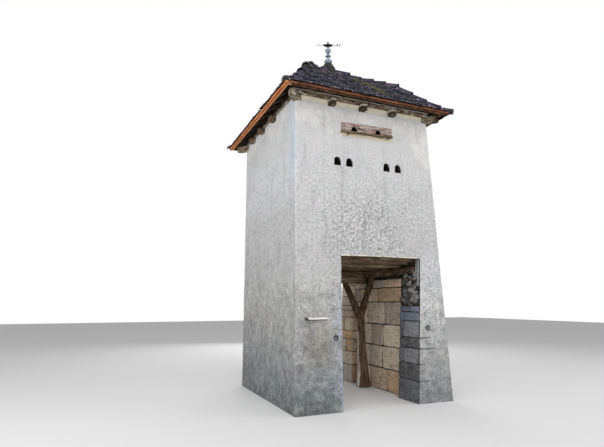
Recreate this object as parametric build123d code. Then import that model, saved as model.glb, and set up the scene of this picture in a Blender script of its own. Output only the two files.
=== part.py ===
from build123d import *
import math
import os

# A square gateway tower whose upper room is a dovecote. All lengths are in millimetres.
# The origin is on the ground under the point of the roof, X runs along the front, Y goes in.

# Walls, outside sizes at their head. The right face leans out towards the ground.
head_width = 2990
tower_depth = 3240
right_batter = 0.061
front_wall_thickness = 620
left_wall_thickness = 500
right_wall_head_inset = 295
upper_side_thickness = 400

# Gateway through the front wall, repeated in the back wall
left_pier_width = 905
gate_height = 2765
gate_jamb_batter = 0.061
lintel_height = 200
lintel_bearing_length = 250
lintel_baulks = 3
baulk_gap = 6
baulk_step = 40
lintel_coat = 25

# Front wall upwards from the lintel, one course of it after another
wall_under_holes_height = 1525
pigeon_hole_straight = 100
wall_over_spring_height = 593
flight_hole_height = 150
wall_over_flight_height = 327

# Passage ceiling, which is the dovecote's floor
floor_beam_drop = 145
floor_beam_depth = 140
floor_beam_width = 260
floor_beam_side_gap = 4
floor_beam_front_width = 135
floor_beam_front_tail = 480
cross_beam_y = 440
cross_beam_width = 200
cross_beam_depth = 285
cross_beam_pocket = 200
joist_depth = 160
joist_width = 120
joist_count = 5
joist_wall_gap = 60
floor_board_thickness = 30
floor_board_width = 178
floor_board_gap = 5
floor_clearance = 5

# Natural forked trunk that props the floor beam and the cross beam
trunk_beam_offset = 10
trunk_foot_y = 400
trunk_foot_radius = 160
trunk_lean = 45
trunk_fork_height = 1650
trunk_fork_radius = 105
left_limb_beam_reach = 400
left_limb_radius = 78
left_limb_bow = 20
right_limb_beam_offset = 100
right_limb_y = 50
right_limb_radius = 80
right_limb_bow = 10
limb_root_depth = 180
limb_swell = 1.1

# Round-headed pigeon holes in the front wall
pigeon_hole_centres = (-635, -375, 475, 745)
pigeon_hole_width = 145

# Plank with two arched holes, and the landing ledge under it
plank_centre_x = 30
plank_width = 1170
plank_height = 187
plank_thickness = 30
plank_tilt = 1.4
plank_arches = ((-293, 92, 116), (255, 82, 114))
plank_arch_narrowing = 0.6
plank_arch_spring = 0.68
ledge_width = 1180
ledge_offset = -17
ledge_reach = 95
ledge_thickness = 32
ledge_bracket_offsets = (-460, 455)
ledge_bracket_size = 45
ledge_bracket_reach = 63
flight_hole_margin = 22

# Beams that come through the wall head and carry the eaves
eave_beam_centres = (-755, -75, 615)
side_beams_from_front = (1200, 1950)
side_beam_from_back = 610
eave_beam_width = 125
eave_beam_depth = 140
eave_beam_reach = 135
corner_beam_width = 150
corner_beam_reach = 280
corner_beam_length = 700
plate_proud = 50
plate_width = 130
plate_depth = 100

# Roof: each bend is a share of the run from eave to point, with its height over the eave
front_overhang = 420
side_overhang = 372
eave_drop = 55
roof_bends = ((0, 0), (0.13, 115), (0.42, 765), (0.72, 1115), (1, 1555))
roof_thickness = 65
eave_tile_thickness = 35
eave_tile_width = 110
eave_board_setback = 65
eave_board_thickness = 20
eave_board_height = 45
sprocket_width = 90
sprocket_toe = 50
sprocket_spacing = 420
sprocket_corner_distance = 620
hip_tile_exposure = 330
hip_tile_lap = 30
hip_tile_low_radius = 97
hip_tile_high_radius = 78
hip_tile_sink = 25
hip_tile_overrun = 15
hip_tiles_end_share = 0.93

# Mortar cap over the point of the roof, and the zinc finial on it
cap_radius = 225
cap_rise = 150
cap_top_radius = 92
cap_shoulder_radius = 168
cap_shoulder_lift = 50
finial_height = 390
finial_foot_radius = 74
finial_ball_radius = 94
finial_neck_radius = 17
finial_disc_radius = 71
finial_cup_radius = 67
finial_stem_radius = 20

# Iron weathervane turning on its spindle
spindle_radius = 7
spindle_height = 140
spindle_foot_radius = 17
vane_bore_clearance = 0.06
vane_tip_clearance = 0.3
vane_sleeve_radius = 15
vane_sleeve_lift = 18
vane_rod_lift = 110
vane_rod_radius = 5
vane_thickness = 9
vane_pointer_length = 262
vane_point_length = 50
vane_tail_length = 305
vane_boat_half = 130
vane_boat_drop = 55
vane_wing_rise = 26
vane_spike_half = 25
vane_spike_rise = 112
vane_fin_width = 18
vane_fin_half_height = 42
vane_fin_spacing = 63
vane_fin_slant = 8
vane_heading = -23

# Iron tethering rings beside the gateway, each in an eye driven into the wall
left_ring_gate_distance = 137
left_ring_height = 1275
right_ring_gate_distance = 93
right_ring_height = 1405
ring_radius = 37
ring_wire = 8
ring_rest_gap = 0.3
eye_radius = 15
eye_wire = 6
eye_stand_off = 34

# Broken stone slab left standing out of the front wall
slab_corner_distance = 159
slab_width = 468
slab_bottom = 1580
slab_thickness = 60
slab_reach = 105
slab_edge = ((0.04, 0.7), (0.3, 1), (0.62, 0.8), (0.94, 0.95), (1, 0.3))
slab_worn_top = 0.8
slab_worn_bottom = 0.3

front_y = -tower_depth / 2
inner_y = front_y + front_wall_thickness
left_x = -head_width / 2
left_wall_inner_x = left_x + left_wall_thickness
gate_left_x = left_x + left_pier_width
gate_right_x = head_width / 2 - right_wall_head_inset
pier_height = gate_height + lintel_height
pigeon_hole_sill = pier_height + wall_under_holes_height
arch_spring = pigeon_hole_sill + pigeon_hole_straight
arch_radius = pigeon_hole_width / 2
flight_sill = arch_spring + wall_over_spring_height
flight_top = flight_sill + flight_hole_height
plank_bottom = flight_sill + flight_hole_margin
wall_head_height = flight_top + wall_over_flight_height
joist_seat = gate_height - floor_beam_drop
floor_beam_underside = joist_seat - floor_beam_depth
cross_beam_underside = joist_seat - cross_beam_depth
floor_underside = joist_seat + joist_depth
floor_top = floor_underside + floor_board_thickness
plate_seat = wall_head_height + eave_beam_depth
plate_top = plate_seat + plate_depth
eave_height = plate_top - eave_drop
half_width = head_width / 2 + side_overhang
half_depth = tower_depth / 2 + front_overhang
cap_height = eave_height + roof_bends[-1][1] + cap_rise
spindle_foot_height = cap_height + finial_height
vane_rod_height = spindle_foot_height + vane_rod_lift


def right_face(z):
    """Where the leaning right face of the tower stands at a height."""
    return head_width / 2 + right_batter * (wall_head_height - z)


floor_beam_right_x = right_face(floor_top) - upper_side_thickness - floor_beam_side_gap
floor_beam_left_x = floor_beam_right_x - floor_beam_width


def block(x0, x1, y0, y1, z0, z1):
    """A plain block between two corners."""
    size = Box(x1 - x0, y1 - y0, z1 - z0, align=(Align.MIN, Align.MIN, Align.MIN))
    return Pos(x0, y0, z0) * size


def along_y(outline, y0, y1):
    """An outline of (x, z) points carried from y0 to y1."""
    face = Plane.XZ * make_face(Polyline(*outline, close=True))
    return Pos(0, y1, 0) * extrude(face, amount=y1 - y0)


def back_copy(part):
    """The same piece at the back of the tower."""
    return mirror(part, about=Plane.XZ)


def right_copy(part):
    """The same piece at the right of the tower."""
    return mirror(part, about=Plane.YZ)


def wall_course(x0, z0, z1):
    """A stretch of the front wall from x0 to the leaning right face."""
    outline = [(x0, z0), (right_face(z0), z0), (right_face(z1), z1), (x0, z1)]
    return along_y(outline, front_y, inner_y)


def baulk_places():
    """Front, depth and underside of each lintel baulk, every one a step lower than the one before."""
    depth = (front_wall_thickness - lintel_coat) / lintel_baulks
    return [(front_y + lintel_coat + number * depth, depth, gate_height - number * baulk_step)
            for number in range(lintel_baulks)]


def lintel_notch():
    """The space that the lintel takes in the piers."""
    x0 = gate_left_x - lintel_bearing_length
    x1 = gate_right_x + lintel_bearing_length
    notch = block(x0, x1, front_y, front_y + lintel_coat, gate_height, pier_height)
    for y0, depth, underside in baulk_places():
        notch += block(x0, x1, y0, y0 + depth, underside, pier_height)
    return notch


def gate_piers():
    """The two piers of the front gateway, notched for the lintel and the floor beam.

    The right jamb spreads towards its foot, as the pier's outer face does.
    """
    notch = lintel_notch()
    left = block(left_x, gate_left_x, front_y, inner_y, 0, pier_height) - notch
    foot_x = gate_right_x - gate_jamb_batter * gate_height
    outline = [(foot_x, 0), (right_face(0), 0), (right_face(pier_height), pier_height),
               (gate_right_x, pier_height), (gate_right_x, gate_height)]
    right = along_y(outline, front_y, inner_y) - notch
    return left, right - floor_beam(), right


def lintels():
    """Timber baulks side by side over both gateways."""
    x0 = gate_left_x - lintel_bearing_length
    x1 = gate_right_x + lintel_bearing_length
    front = []
    for y0, depth, underside in baulk_places():
        front.append(block(x0, x1, y0, y0 + depth - baulk_gap, underside, pier_height))
    coat = block(x0, x1, front_y, front_y + lintel_coat, gate_height, pier_height)
    return front + [back_copy(baulk) for baulk in front], [coat, back_copy(coat)]


def pigeon_hole_course():
    """The wall between the straight sides of the pigeon holes, one block between each pair."""
    edges = [left_x]
    for centre in pigeon_hole_centres:
        edges += [centre - arch_radius, centre + arch_radius]
    blocks = []
    for start, end in zip(edges[0::2], edges[1::2]):
        blocks.append(block(start, end, front_y, inner_y, pigeon_hole_sill, arch_spring))
    blocks.append(wall_course(edges[-1], pigeon_hole_sill, arch_spring))
    return blocks


def wall_over_pigeon_holes():
    """The wall from the spring of the arches up to the flight holes."""
    wall = wall_course(left_x, arch_spring, flight_sill)
    for centre in pigeon_hole_centres:
        head = Cylinder(arch_radius, front_wall_thickness * 2, rotation=(90, 0, 0))
        wall -= Pos(centre, front_y, arch_spring) * head
    return wall


def flight_hole_edges():
    """Left and right edge of the hole in the wall behind each arch of the plank."""
    edges = []
    for offset, half, rise in plank_arches:
        centre = plank_centre_x + offset
        edges += [centre - half - flight_hole_margin, centre + half + flight_hole_margin]
    return edges


def flight_hole_course():
    """The wall beside and between the two flight holes."""
    edges = [left_x] + flight_hole_edges()
    blocks = []
    for start, end in zip(edges[0::2], edges[1::2]):
        blocks.append(block(start, end, front_y, inner_y, flight_sill, flight_top))
    blocks.append(wall_course(edges[-1], flight_sill, flight_top))
    return blocks


def side_walls():
    """Lower side walls with a ledge for the floor, and the thinner walls above it."""
    back = -inner_y
    pocket = block(left_wall_inner_x - cross_beam_pocket, left_wall_inner_x,
                   cross_beam_y - cross_beam_width / 2, cross_beam_y + cross_beam_width / 2,
                   cross_beam_underside, joist_seat)
    left_lower = block(left_x, left_wall_inner_x, inner_y, back, 0, joist_seat) - pocket
    left_upper = block(left_x, left_x + upper_side_thickness, inner_y, back, joist_seat,
                       wall_head_height)
    ledge = floor_beam_underside
    right_lower = along_y([(gate_right_x, 0), (right_face(0), 0), (right_face(ledge), ledge),
                           (gate_right_x, ledge)], inner_y, back)
    low_face = right_face(ledge)
    high_face = right_face(wall_head_height)
    right_upper = along_y([(low_face - upper_side_thickness, ledge), (low_face, ledge),
                           (high_face, wall_head_height),
                           (high_face - upper_side_thickness, wall_head_height)], inner_y, back)
    return left_lower, left_upper, right_lower, right_upper


def floor_beam():
    """Natural beam along the right wall, tapering to the tail that is built into the front pier."""
    plan = Polyline((floor_beam_right_x - floor_beam_front_width, inner_y - floor_beam_front_tail),
                    (floor_beam_right_x, inner_y - floor_beam_front_tail),
                    (floor_beam_right_x, -inner_y), (floor_beam_left_x, -inner_y), close=True)
    return Pos(0, 0, floor_beam_underside) * extrude(make_face(plan), amount=floor_beam_depth)


def floor_timbers():
    """Cross beam, floor beam, joists and boards over the passage."""
    cross = block(left_wall_inner_x - cross_beam_pocket, gate_right_x,
                  cross_beam_y - cross_beam_width / 2, cross_beam_y + cross_beam_width / 2,
                  cross_beam_underside, joist_seat)
    cross -= floor_beam()
    joist_left = left_x + upper_side_thickness + floor_clearance
    joist_right = floor_beam_right_x - floor_clearance
    first = inner_y + joist_wall_gap + joist_width / 2
    joists = []
    for number in range(joist_count):
        y = first - 2 * first * number / (joist_count - 1)
        joists.append(block(joist_left, joist_right, y - joist_width / 2, y + joist_width / 2,
                            joist_seat, floor_underside))
    boards = []
    x = joist_left
    while x + floor_board_width <= joist_right:
        boards.append(block(x, x + floor_board_width, inner_y + floor_clearance,
                            -inner_y - floor_clearance, floor_underside, floor_top))
        x += floor_board_width + floor_board_gap
    return cross, floor_beam(), joists, boards


def limb(stations):
    """A tapering stretch of natural timber through (x, y, z, radius) stations."""
    rings = []
    for x, y, z, radius in stations:
        rings.append(Pos(x, y, z) * Circle(radius))
    return loft(rings)


def forked_post():
    """A tree trunk stood on end, its two limbs cut off flat under the beams."""
    foot_x = floor_beam_left_x + trunk_beam_offset
    foot_y = trunk_foot_y
    fork_x = foot_x - trunk_lean
    fork = trunk_fork_height
    trunk = limb([(foot_x, foot_y, 0, trunk_foot_radius),
                  (foot_x - trunk_lean / 2, foot_y, fork / 2, trunk_fork_radius),
                  (fork_x, foot_y, fork + trunk_fork_radius, trunk_fork_radius)])
    left_x_head = floor_beam_left_x - left_limb_beam_reach
    left = limb([(fork_x, foot_y, fork - limb_root_depth, left_limb_radius * limb_swell),
                 ((fork_x + left_x_head) / 2 - left_limb_bow, (foot_y + cross_beam_y) / 2,
                  (fork + cross_beam_underside) / 2, left_limb_radius * limb_swell),
                 (left_x_head, cross_beam_y, cross_beam_underside, left_limb_radius)])
    right_x_head = floor_beam_left_x + right_limb_beam_offset
    right = limb([(fork_x, foot_y, fork - limb_root_depth, right_limb_radius),
                  ((fork_x + right_x_head) / 2 + right_limb_bow, (foot_y + right_limb_y) / 2,
                   (fork + floor_beam_underside) / 2, right_limb_radius),
                  (right_x_head, right_limb_y, floor_beam_underside, right_limb_radius)])
    return trunk + left + right


def tilted_with_plank(part):
    """The plank and what is fixed to it lean a little out of level."""
    pivot = Pos(plank_centre_x, front_y, plank_bottom)
    return pivot * Rot(0, -plank_tilt, 0) * part


def pigeon_plank():
    """Plank with its two arches, the ledge under it and the ledge's brackets, in that order."""
    plank = block(-plank_width / 2, plank_width / 2, -plank_thickness, 0, 0, plank_height)
    for offset, half, rise in plank_arches:
        shoulder, spring = half * plank_arch_narrowing, rise * plank_arch_spring
        arch = make_face([Polyline((offset - shoulder, spring), (offset - half, 0), (offset + half, 0),
                                   (offset + shoulder, spring)),
                          ThreePointArc((offset + shoulder, spring), (offset, rise),
                                        (offset - shoulder, spring))])
        plank -= Pos(0, plank_thickness, 0) * extrude(Plane.XZ * arch, amount=plank_thickness * 3)
    ledge = block(ledge_offset - ledge_width / 2, ledge_offset + ledge_width / 2, -ledge_reach, 0,
                  -ledge_thickness, 0)
    brackets = []
    size = ledge_bracket_size
    for offset in ledge_bracket_offsets:
        side = make_face(Polyline((0, 0), (0, -size), (-ledge_bracket_reach, 0), close=True))
        wedge = extrude(Plane.YZ * side, amount=size)
        brackets.append(tilted_with_plank(Pos(offset, 0, -ledge_thickness) * wedge))
    return tilted_with_plank(plank), tilted_with_plank(ledge), brackets


def eave_beams():
    """Front to back beams, stubs to the sides and diagonal beams to the corners."""
    reach_y = tower_depth / 2 + eave_beam_reach
    half = eave_beam_width / 2
    long_beams = []
    for centre in eave_beam_centres:
        long_beams.append(block(centre - half, centre + half, -reach_y, reach_y,
                                wall_head_height, plate_seat))
    reach_x = head_width / 2 + eave_beam_reach
    inner_left = eave_beam_centres[0] - half
    inner_right = eave_beam_centres[-1] + half
    stubs = []
    side_beam_centres = [front_y + distance for distance in side_beams_from_front]
    side_beam_centres.append(-front_y - side_beam_from_back)
    for centre in side_beam_centres:
        stubs.append(block(-reach_x, inner_left, centre - half, centre + half,
                           wall_head_height, plate_seat))
        stubs.append(block(inner_right, reach_x, centre - half, centre + half,
                           wall_head_height, plate_seat))
    nose = corner_beam_width / 2
    straight = block(0, corner_beam_length, -nose, nose, wall_head_height, plate_seat)
    round_end = Cylinder(nose, eave_beam_depth, align=(Align.CENTER, Align.CENTER, Align.MIN))
    corner = straight + Pos(corner_beam_length, 0, wall_head_height) * round_end
    outwards = math.degrees(math.atan2(front_y, left_x))
    start = corner_beam_length - corner_beam_reach + nose
    front_left = Pos(left_x, front_y, 0) * Rot(0, 0, outwards) * Pos(-start, 0, 0) * corner
    corners = [front_left, right_copy(front_left)]
    corners += [back_copy(beam) for beam in corners]
    return long_beams, stubs, corners


def beam_fill(beams):
    """Masonry packed between the beam ends, up to the plates."""
    outside = block(left_x, -left_x, front_y, -front_y, wall_head_height, plate_seat)
    inside = block(left_x + upper_side_thickness, -left_x - upper_side_thickness, inner_y, -inner_y,
                   wall_head_height, plate_seat)
    fill = outside - inside
    for beam in beams:
        fill -= beam
    return fill.solids()


def height_over(run, distance):
    """Height of the tiles at a distance in from the eave, on a slope with this run."""
    share = distance / run
    for (low, low_rise), (high, high_rise) in zip(roof_bends[:-1], roof_bends[1:]):
        if share <= high:
            return eave_height + low_rise + (high_rise - low_rise) * (share - low) / (high - low)
    return eave_height + roof_bends[-1][1]


def roof_line(run, drop):
    """The slope's bends as (distance from eave, height), lowered by drop."""
    return [(share * run, eave_height + rise - drop) for share, rise in roof_bends]


def front_slope(outline):
    """An outline of (distance from eave, height) run along the front, mitred at the hips."""
    face = Plane.YZ * make_face(Polyline(*[(s - half_depth, z) for s, z in outline], close=True))
    corners = [(-half_width, -half_depth), (half_width, -half_depth), (0, 0)]
    wedge = extrude(make_face(Polyline(*corners, close=True)), amount=cap_height + half_width)
    return extrude(face, amount=half_width, both=True) & wedge


def left_slope(outline):
    """The same along the left side."""
    face = Plane.XZ * make_face(Polyline(*[(s - half_width, z) for s, z in outline], close=True))
    corners = [(-half_width, half_depth), (-half_width, -half_depth), (0, 0)]
    wedge = extrude(make_face(Polyline(*corners, close=True)), amount=cap_height + half_width)
    return extrude(face, amount=half_depth, both=True) & wedge


def four_sides(front_outline, left_outline):
    """A mitred strip on all four sides, as front, back, left and right."""
    front = front_slope(front_outline)
    left = left_slope(left_outline)
    return [front, back_copy(front), left, right_copy(left)]


def slope_outline(run):
    """Tiled slope, with a rebate under its edge for the eave course."""
    top = roof_line(run, 0)
    underside = roof_line(run, roof_thickness)
    rebate = height_over(run, eave_tile_width) - roof_thickness
    lip = eave_height - roof_thickness + eave_tile_thickness
    edge = [(eave_tile_width, rebate), (eave_tile_width, rebate + eave_tile_thickness), (0, lip)]
    return top + underside[:0:-1] + edge


def eave_tile_outline(run):
    """The doubled course of tiles under the edge of the slope."""
    low = eave_height - roof_thickness
    high = height_over(run, eave_tile_width) - roof_thickness
    return [(0, low), (eave_tile_width, high), (eave_tile_width, high + eave_tile_thickness),
            (0, low + eave_tile_thickness)]


def eave_board_outline(run):
    """The board on edge that closes the sprocket ends."""
    start = eave_board_setback
    end = start + eave_board_thickness
    low = height_over(run, start) - roof_thickness
    high = height_over(run, end) - roof_thickness
    return [(start, low - eave_board_height), (end, low - eave_board_height), (end, high), (start, low)]


def plate_outline(overhang):
    """The wall plate on the beams."""
    start = overhang - plate_proud
    return [(start, plate_seat), (start + plate_width, plate_seat),
            (start + plate_width, plate_top), (start, plate_top)]


def sprocket_outline(run, overhang):
    """A sprocket from the wall plate out to the eave board."""
    toe = eave_board_setback + eave_board_thickness
    start = overhang - plate_proud
    end = start + plate_width
    bend, bend_height = roof_line(run, roof_thickness)[1]
    toe_height = height_over(run, toe) - roof_thickness
    return [(toe, toe_height - sprocket_toe), (start, plate_top), (end, plate_top),
            (end, height_over(run, end) - roof_thickness), (bend, bend_height), (toe, toe_height)]


def spread(half_length):
    """Even places for the sprockets along an eave, clear of the corners."""
    reach = half_length - sprocket_corner_distance
    count = max(2, round(2 * reach / sprocket_spacing) + 1)
    return [-reach + 2 * reach * number / (count - 1) for number in range(count)]


def solid_under_roof(drop):
    """Everything under the tiles, lowered by drop, down to the sprockets' toes."""
    low = plate_seat - roof_thickness
    front = front_slope(roof_line(half_depth, drop) + [(half_depth, low), (0, low)])
    left = left_slope(roof_line(half_width, drop) + [(half_width, low), (0, low)])
    return front + back_copy(front) + left + right_copy(left)


def hip_frame(share):
    """A point on the front left hip."""
    run = math.hypot(half_width, half_depth)
    height = height_over(run, share * run)
    return Vector(-half_width * (1 - share), -half_depth * (1 - share), height)


def sprockets():
    """Sprockets on the four sides and one on each hip."""
    front = make_face(Polyline(*[(s - half_depth, z) for s, z in
                                 sprocket_outline(half_depth, front_overhang)], close=True))
    front_piece = extrude(Plane.YZ * front, amount=sprocket_width / 2, both=True)
    left = make_face(Polyline(*[(s - half_width, z) for s, z in
                                sprocket_outline(half_width, side_overhang)], close=True))
    left_piece = extrude(Plane.XZ * left, amount=sprocket_width / 2, both=True)
    pieces = []
    for x in spread(half_width):
        piece = Pos(x, 0, 0) * front_piece
        pieces += [piece, back_copy(piece)]
    for y in spread(half_depth):
        piece = Pos(0, y, 0) * left_piece
        pieces += [piece, right_copy(piece)]
    diagonal = math.hypot(half_width, half_depth)
    plate_corner = math.hypot(left_x - plate_proud, front_y - plate_proud)
    outline = sprocket_outline(diagonal, diagonal - plate_corner - sprocket_width / 2 + plate_proud)
    hip = make_face(Polyline(*[(s - diagonal, z) for s, z in outline], close=True))
    bearing = math.degrees(math.atan2(half_depth, half_width))
    hip_piece = Rot(0, 0, bearing) * extrude(Plane.XZ * hip, amount=sprocket_width / 2, both=True)
    toe = eave_board_setback + eave_board_thickness
    inside_boards = block(toe - half_width, 0, toe - half_depth, 0, 0, cap_height)
    hip_piece = hip_piece & solid_under_roof(roof_thickness) & inside_boards
    hips = [hip_piece, right_copy(hip_piece)]
    hips += [back_copy(piece) for piece in hips]
    return pieces + hips


def hip_tile(length):
    """One tapered half-round tile, lying along +Z with its crown towards +X."""
    cone = Cone(hip_tile_low_radius, hip_tile_high_radius, length,
                align=(Align.CENTER, Align.CENTER, Align.MIN))
    width = hip_tile_low_radius * 2
    keep = Box(width, width, length, align=(Align.MIN, Align.CENTER, Align.MIN))
    return cone & Pos(-hip_tile_sink, 0, 0) * keep


def hip_cover():
    """The row of half-round tiles over the front left hip, bedded on both slopes."""
    first = hip_frame(0)
    last = hip_frame(hip_tiles_end_share)
    count = round((last - first).length / hip_tile_exposure)
    row = None
    for number in range(count):
        low = hip_frame(hip_tiles_end_share * number / count)
        high = hip_frame(hip_tiles_end_share * (number + 1) / count)
        along = (high - low).normalized()
        crown = Vector(0, 0, 1) - along * along.Z
        place = Plane(origin=low, x_dir=crown.normalized(), z_dir=along)
        tile = place * hip_tile((high - low).length + hip_tile_lap)
        row = tile if row is None else row + tile
    reach_x = half_width + hip_tile_overrun
    reach_y = half_depth + hip_tile_overrun
    over_roof = block(-reach_x, 0, -reach_y, 0, eave_height - hip_tile_sink, cap_height)
    return (row - solid_under_roof(0)) & over_roof


def apex_cap():
    """Mortar cap over the point of the roof, where the hips meet."""
    low = height_over(half_width, half_width - cap_radius) - roof_thickness
    shoulder = (cap_shoulder_radius, (low + cap_height) / 2 + cap_shoulder_lift)
    outline = make_face([Polyline((0, low), (cap_radius, low)),
                         ThreePointArc((cap_radius, low), shoulder, (cap_top_radius, cap_height)),
                         Polyline((cap_top_radius, cap_height), (0, cap_height), (0, low))])
    return revolve(Plane.XZ * outline, Axis.Z)


def finial():
    """Turned zinc finial: ball, neck, sharp-edged disc, neck and cup, one over the other."""
    def at(radius, share):
        return (radius, cap_height + finial_height * share)

    foot, ball, neck = finial_foot_radius, finial_ball_radius, finial_neck_radius
    disc, cup, stem = finial_disc_radius, finial_cup_radius, finial_stem_radius
    side = [Line(at(0, 0), at(foot, 0)),
            Line(at(foot, 0), at(foot, 0.04)),
            ThreePointArc(at(foot, 0.04), at(ball, 0.15), at(stem * 2, 0.29)),
            Line(at(stem * 2, 0.29), at(neck, 0.34)),
            Line(at(neck, 0.34), at(neck, 0.41)),
            ThreePointArc(at(neck, 0.41), at(disc * 0.6, 0.46), at(disc, 0.515)),
            ThreePointArc(at(disc, 0.515), at(disc * 0.6, 0.57), at(neck, 0.62)),
            Line(at(neck, 0.62), at(stem, 0.66)),
            ThreePointArc(at(stem, 0.66), at(cup * 0.76, 0.76), at(cup, 0.89)),
            ThreePointArc(at(cup, 0.89), at(cup * 0.83, 0.97), at(cup * 0.6, 0.955)),
            Line(at(cup * 0.6, 0.955), at(stem, 0.93)),
            Line(at(stem, 0.93), at(stem, 1)),
            Line(at(stem, 1), at(0, 1)),
            Line(at(0, 1), at(0, 0))]
    return revolve(Plane.XZ * make_face(side), Axis.Z)


def upright_cylinder(radius, height):
    """A round bar that stands on the origin."""
    return Cylinder(radius, height, align=(Align.CENTER, Align.CENTER, Align.MIN))


def spindle():
    """Iron pin that the weathervane turns on."""
    foot = upright_cylinder(spindle_foot_radius, vane_sleeve_lift / 2)
    return Pos(0, 0, spindle_foot_height) * (foot + upright_cylinder(spindle_radius, spindle_height))


def vane_boat(rod):
    """Boat with two swept wing tops and a spike between them."""
    half, spike = vane_boat_half, vane_spike_half
    wing_top = rod + vane_wing_rise
    wing_root = (spike, wing_top)
    right = [ThreePointArc((half, rod), (half / 2, wing_top), wing_root),
             Line(wing_root, (0, rod + vane_spike_rise))]
    left = [mirror(edge, about=Plane.YZ) for edge in right]
    hull = ThreePointArc((-half, rod), (0, rod - vane_boat_drop), (half, rod))
    return make_face([hull] + right + left)


def vane_fin(distance, rod):
    """A tail fin, slanted like a feather, at a distance behind the spindle."""
    half, slant = vane_fin_width / 2, vane_fin_slant
    low = rod - vane_fin_half_height
    high = rod + vane_fin_half_height
    return make_face(Polyline((distance - half - slant, low), (distance + half - slant, low + slant),
                              (distance + half + slant, high), (distance - half + slant, high - slant),
                              close=True))


def weathervane():
    """Boat-shaped plate with a spike, a pointer rod and two tail fins, on its sleeve."""
    base = spindle_foot_height + vane_sleeve_lift
    tip = spindle_foot_height + spindle_height + vane_tip_clearance
    rod = vane_rod_height
    last_fin = vane_tail_length - vane_fin_slant - vane_fin_width / 2
    plates = [vane_boat(rod), vane_fin(last_fin, rod), vane_fin(last_fin - vane_fin_spacing, rod)]
    bar_start = vane_point_length - vane_pointer_length
    bar = Pos(bar_start, 0, rod) * Rot(0, 90, 0) * upright_cylinder(vane_rod_radius,
                                                                    last_fin - bar_start)
    point = Cone(vane_rod_radius * 2, 1, vane_point_length,
                 align=(Align.CENTER, Align.CENTER, Align.MIN))
    vane = bar + Pos(bar_start, 0, rod) * Rot(0, -90, 0) * point
    for plate in plates:
        vane += extrude(Plane.XZ * plate, amount=vane_thickness / 2, both=True)
    vane += Pos(0, 0, base) * upright_cylinder(vane_sleeve_radius, tip + vane_sleeve_radius - base)
    vane -= Pos(0, 0, base) * upright_cylinder(spindle_radius + vane_bore_clearance, tip - base)
    return Rot(0, 0, vane_heading) * vane


def tether_ring(eye_x, ring_z):
    """A ring hanging on the low side of its eye, and the eye with its shank."""
    eye_y = front_y - eye_stand_off
    slack = eye_radius - eye_wire - ring_wire - ring_rest_gap
    eye_z = ring_z + ring_radius + slack
    ring = Pos(eye_x, eye_y, ring_z) * Torus(ring_radius, ring_wire, rotation=(90, 0, 0))
    eye = Pos(eye_x, eye_y, eye_z) * Torus(eye_radius, eye_wire, rotation=(0, 90, 0))
    shank_length = eye_stand_off - eye_radius
    shank = Cylinder(eye_wire, shank_length, rotation=(90, 0, 0),
                     align=(Align.CENTER, Align.CENTER, Align.MIN))
    return ring, eye + Pos(eye_x, front_y, eye_z) * shank


def wall_slab():
    """Broken slab, thicker at its root than at its ragged edge."""
    x0 = left_x + slab_corner_distance
    edge = [(x0, 0)] + [(x0 + slab_width * along, -slab_reach * out) for along, out in slab_edge]
    edge.append((x0 + slab_width, 0))
    plan = extrude(make_face(Polyline(*edge, close=True)), amount=slab_thickness)
    lean = make_face(Polyline((0, 0), (0, slab_thickness), (-slab_reach, slab_thickness * slab_worn_top),
                              (-slab_reach, slab_thickness * slab_worn_bottom), close=True))
    section = Pos(x0, 0, 0) * extrude(Plane.YZ * lean, amount=slab_width)
    return Pos(0, front_y, slab_bottom) * (plan & section)


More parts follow.
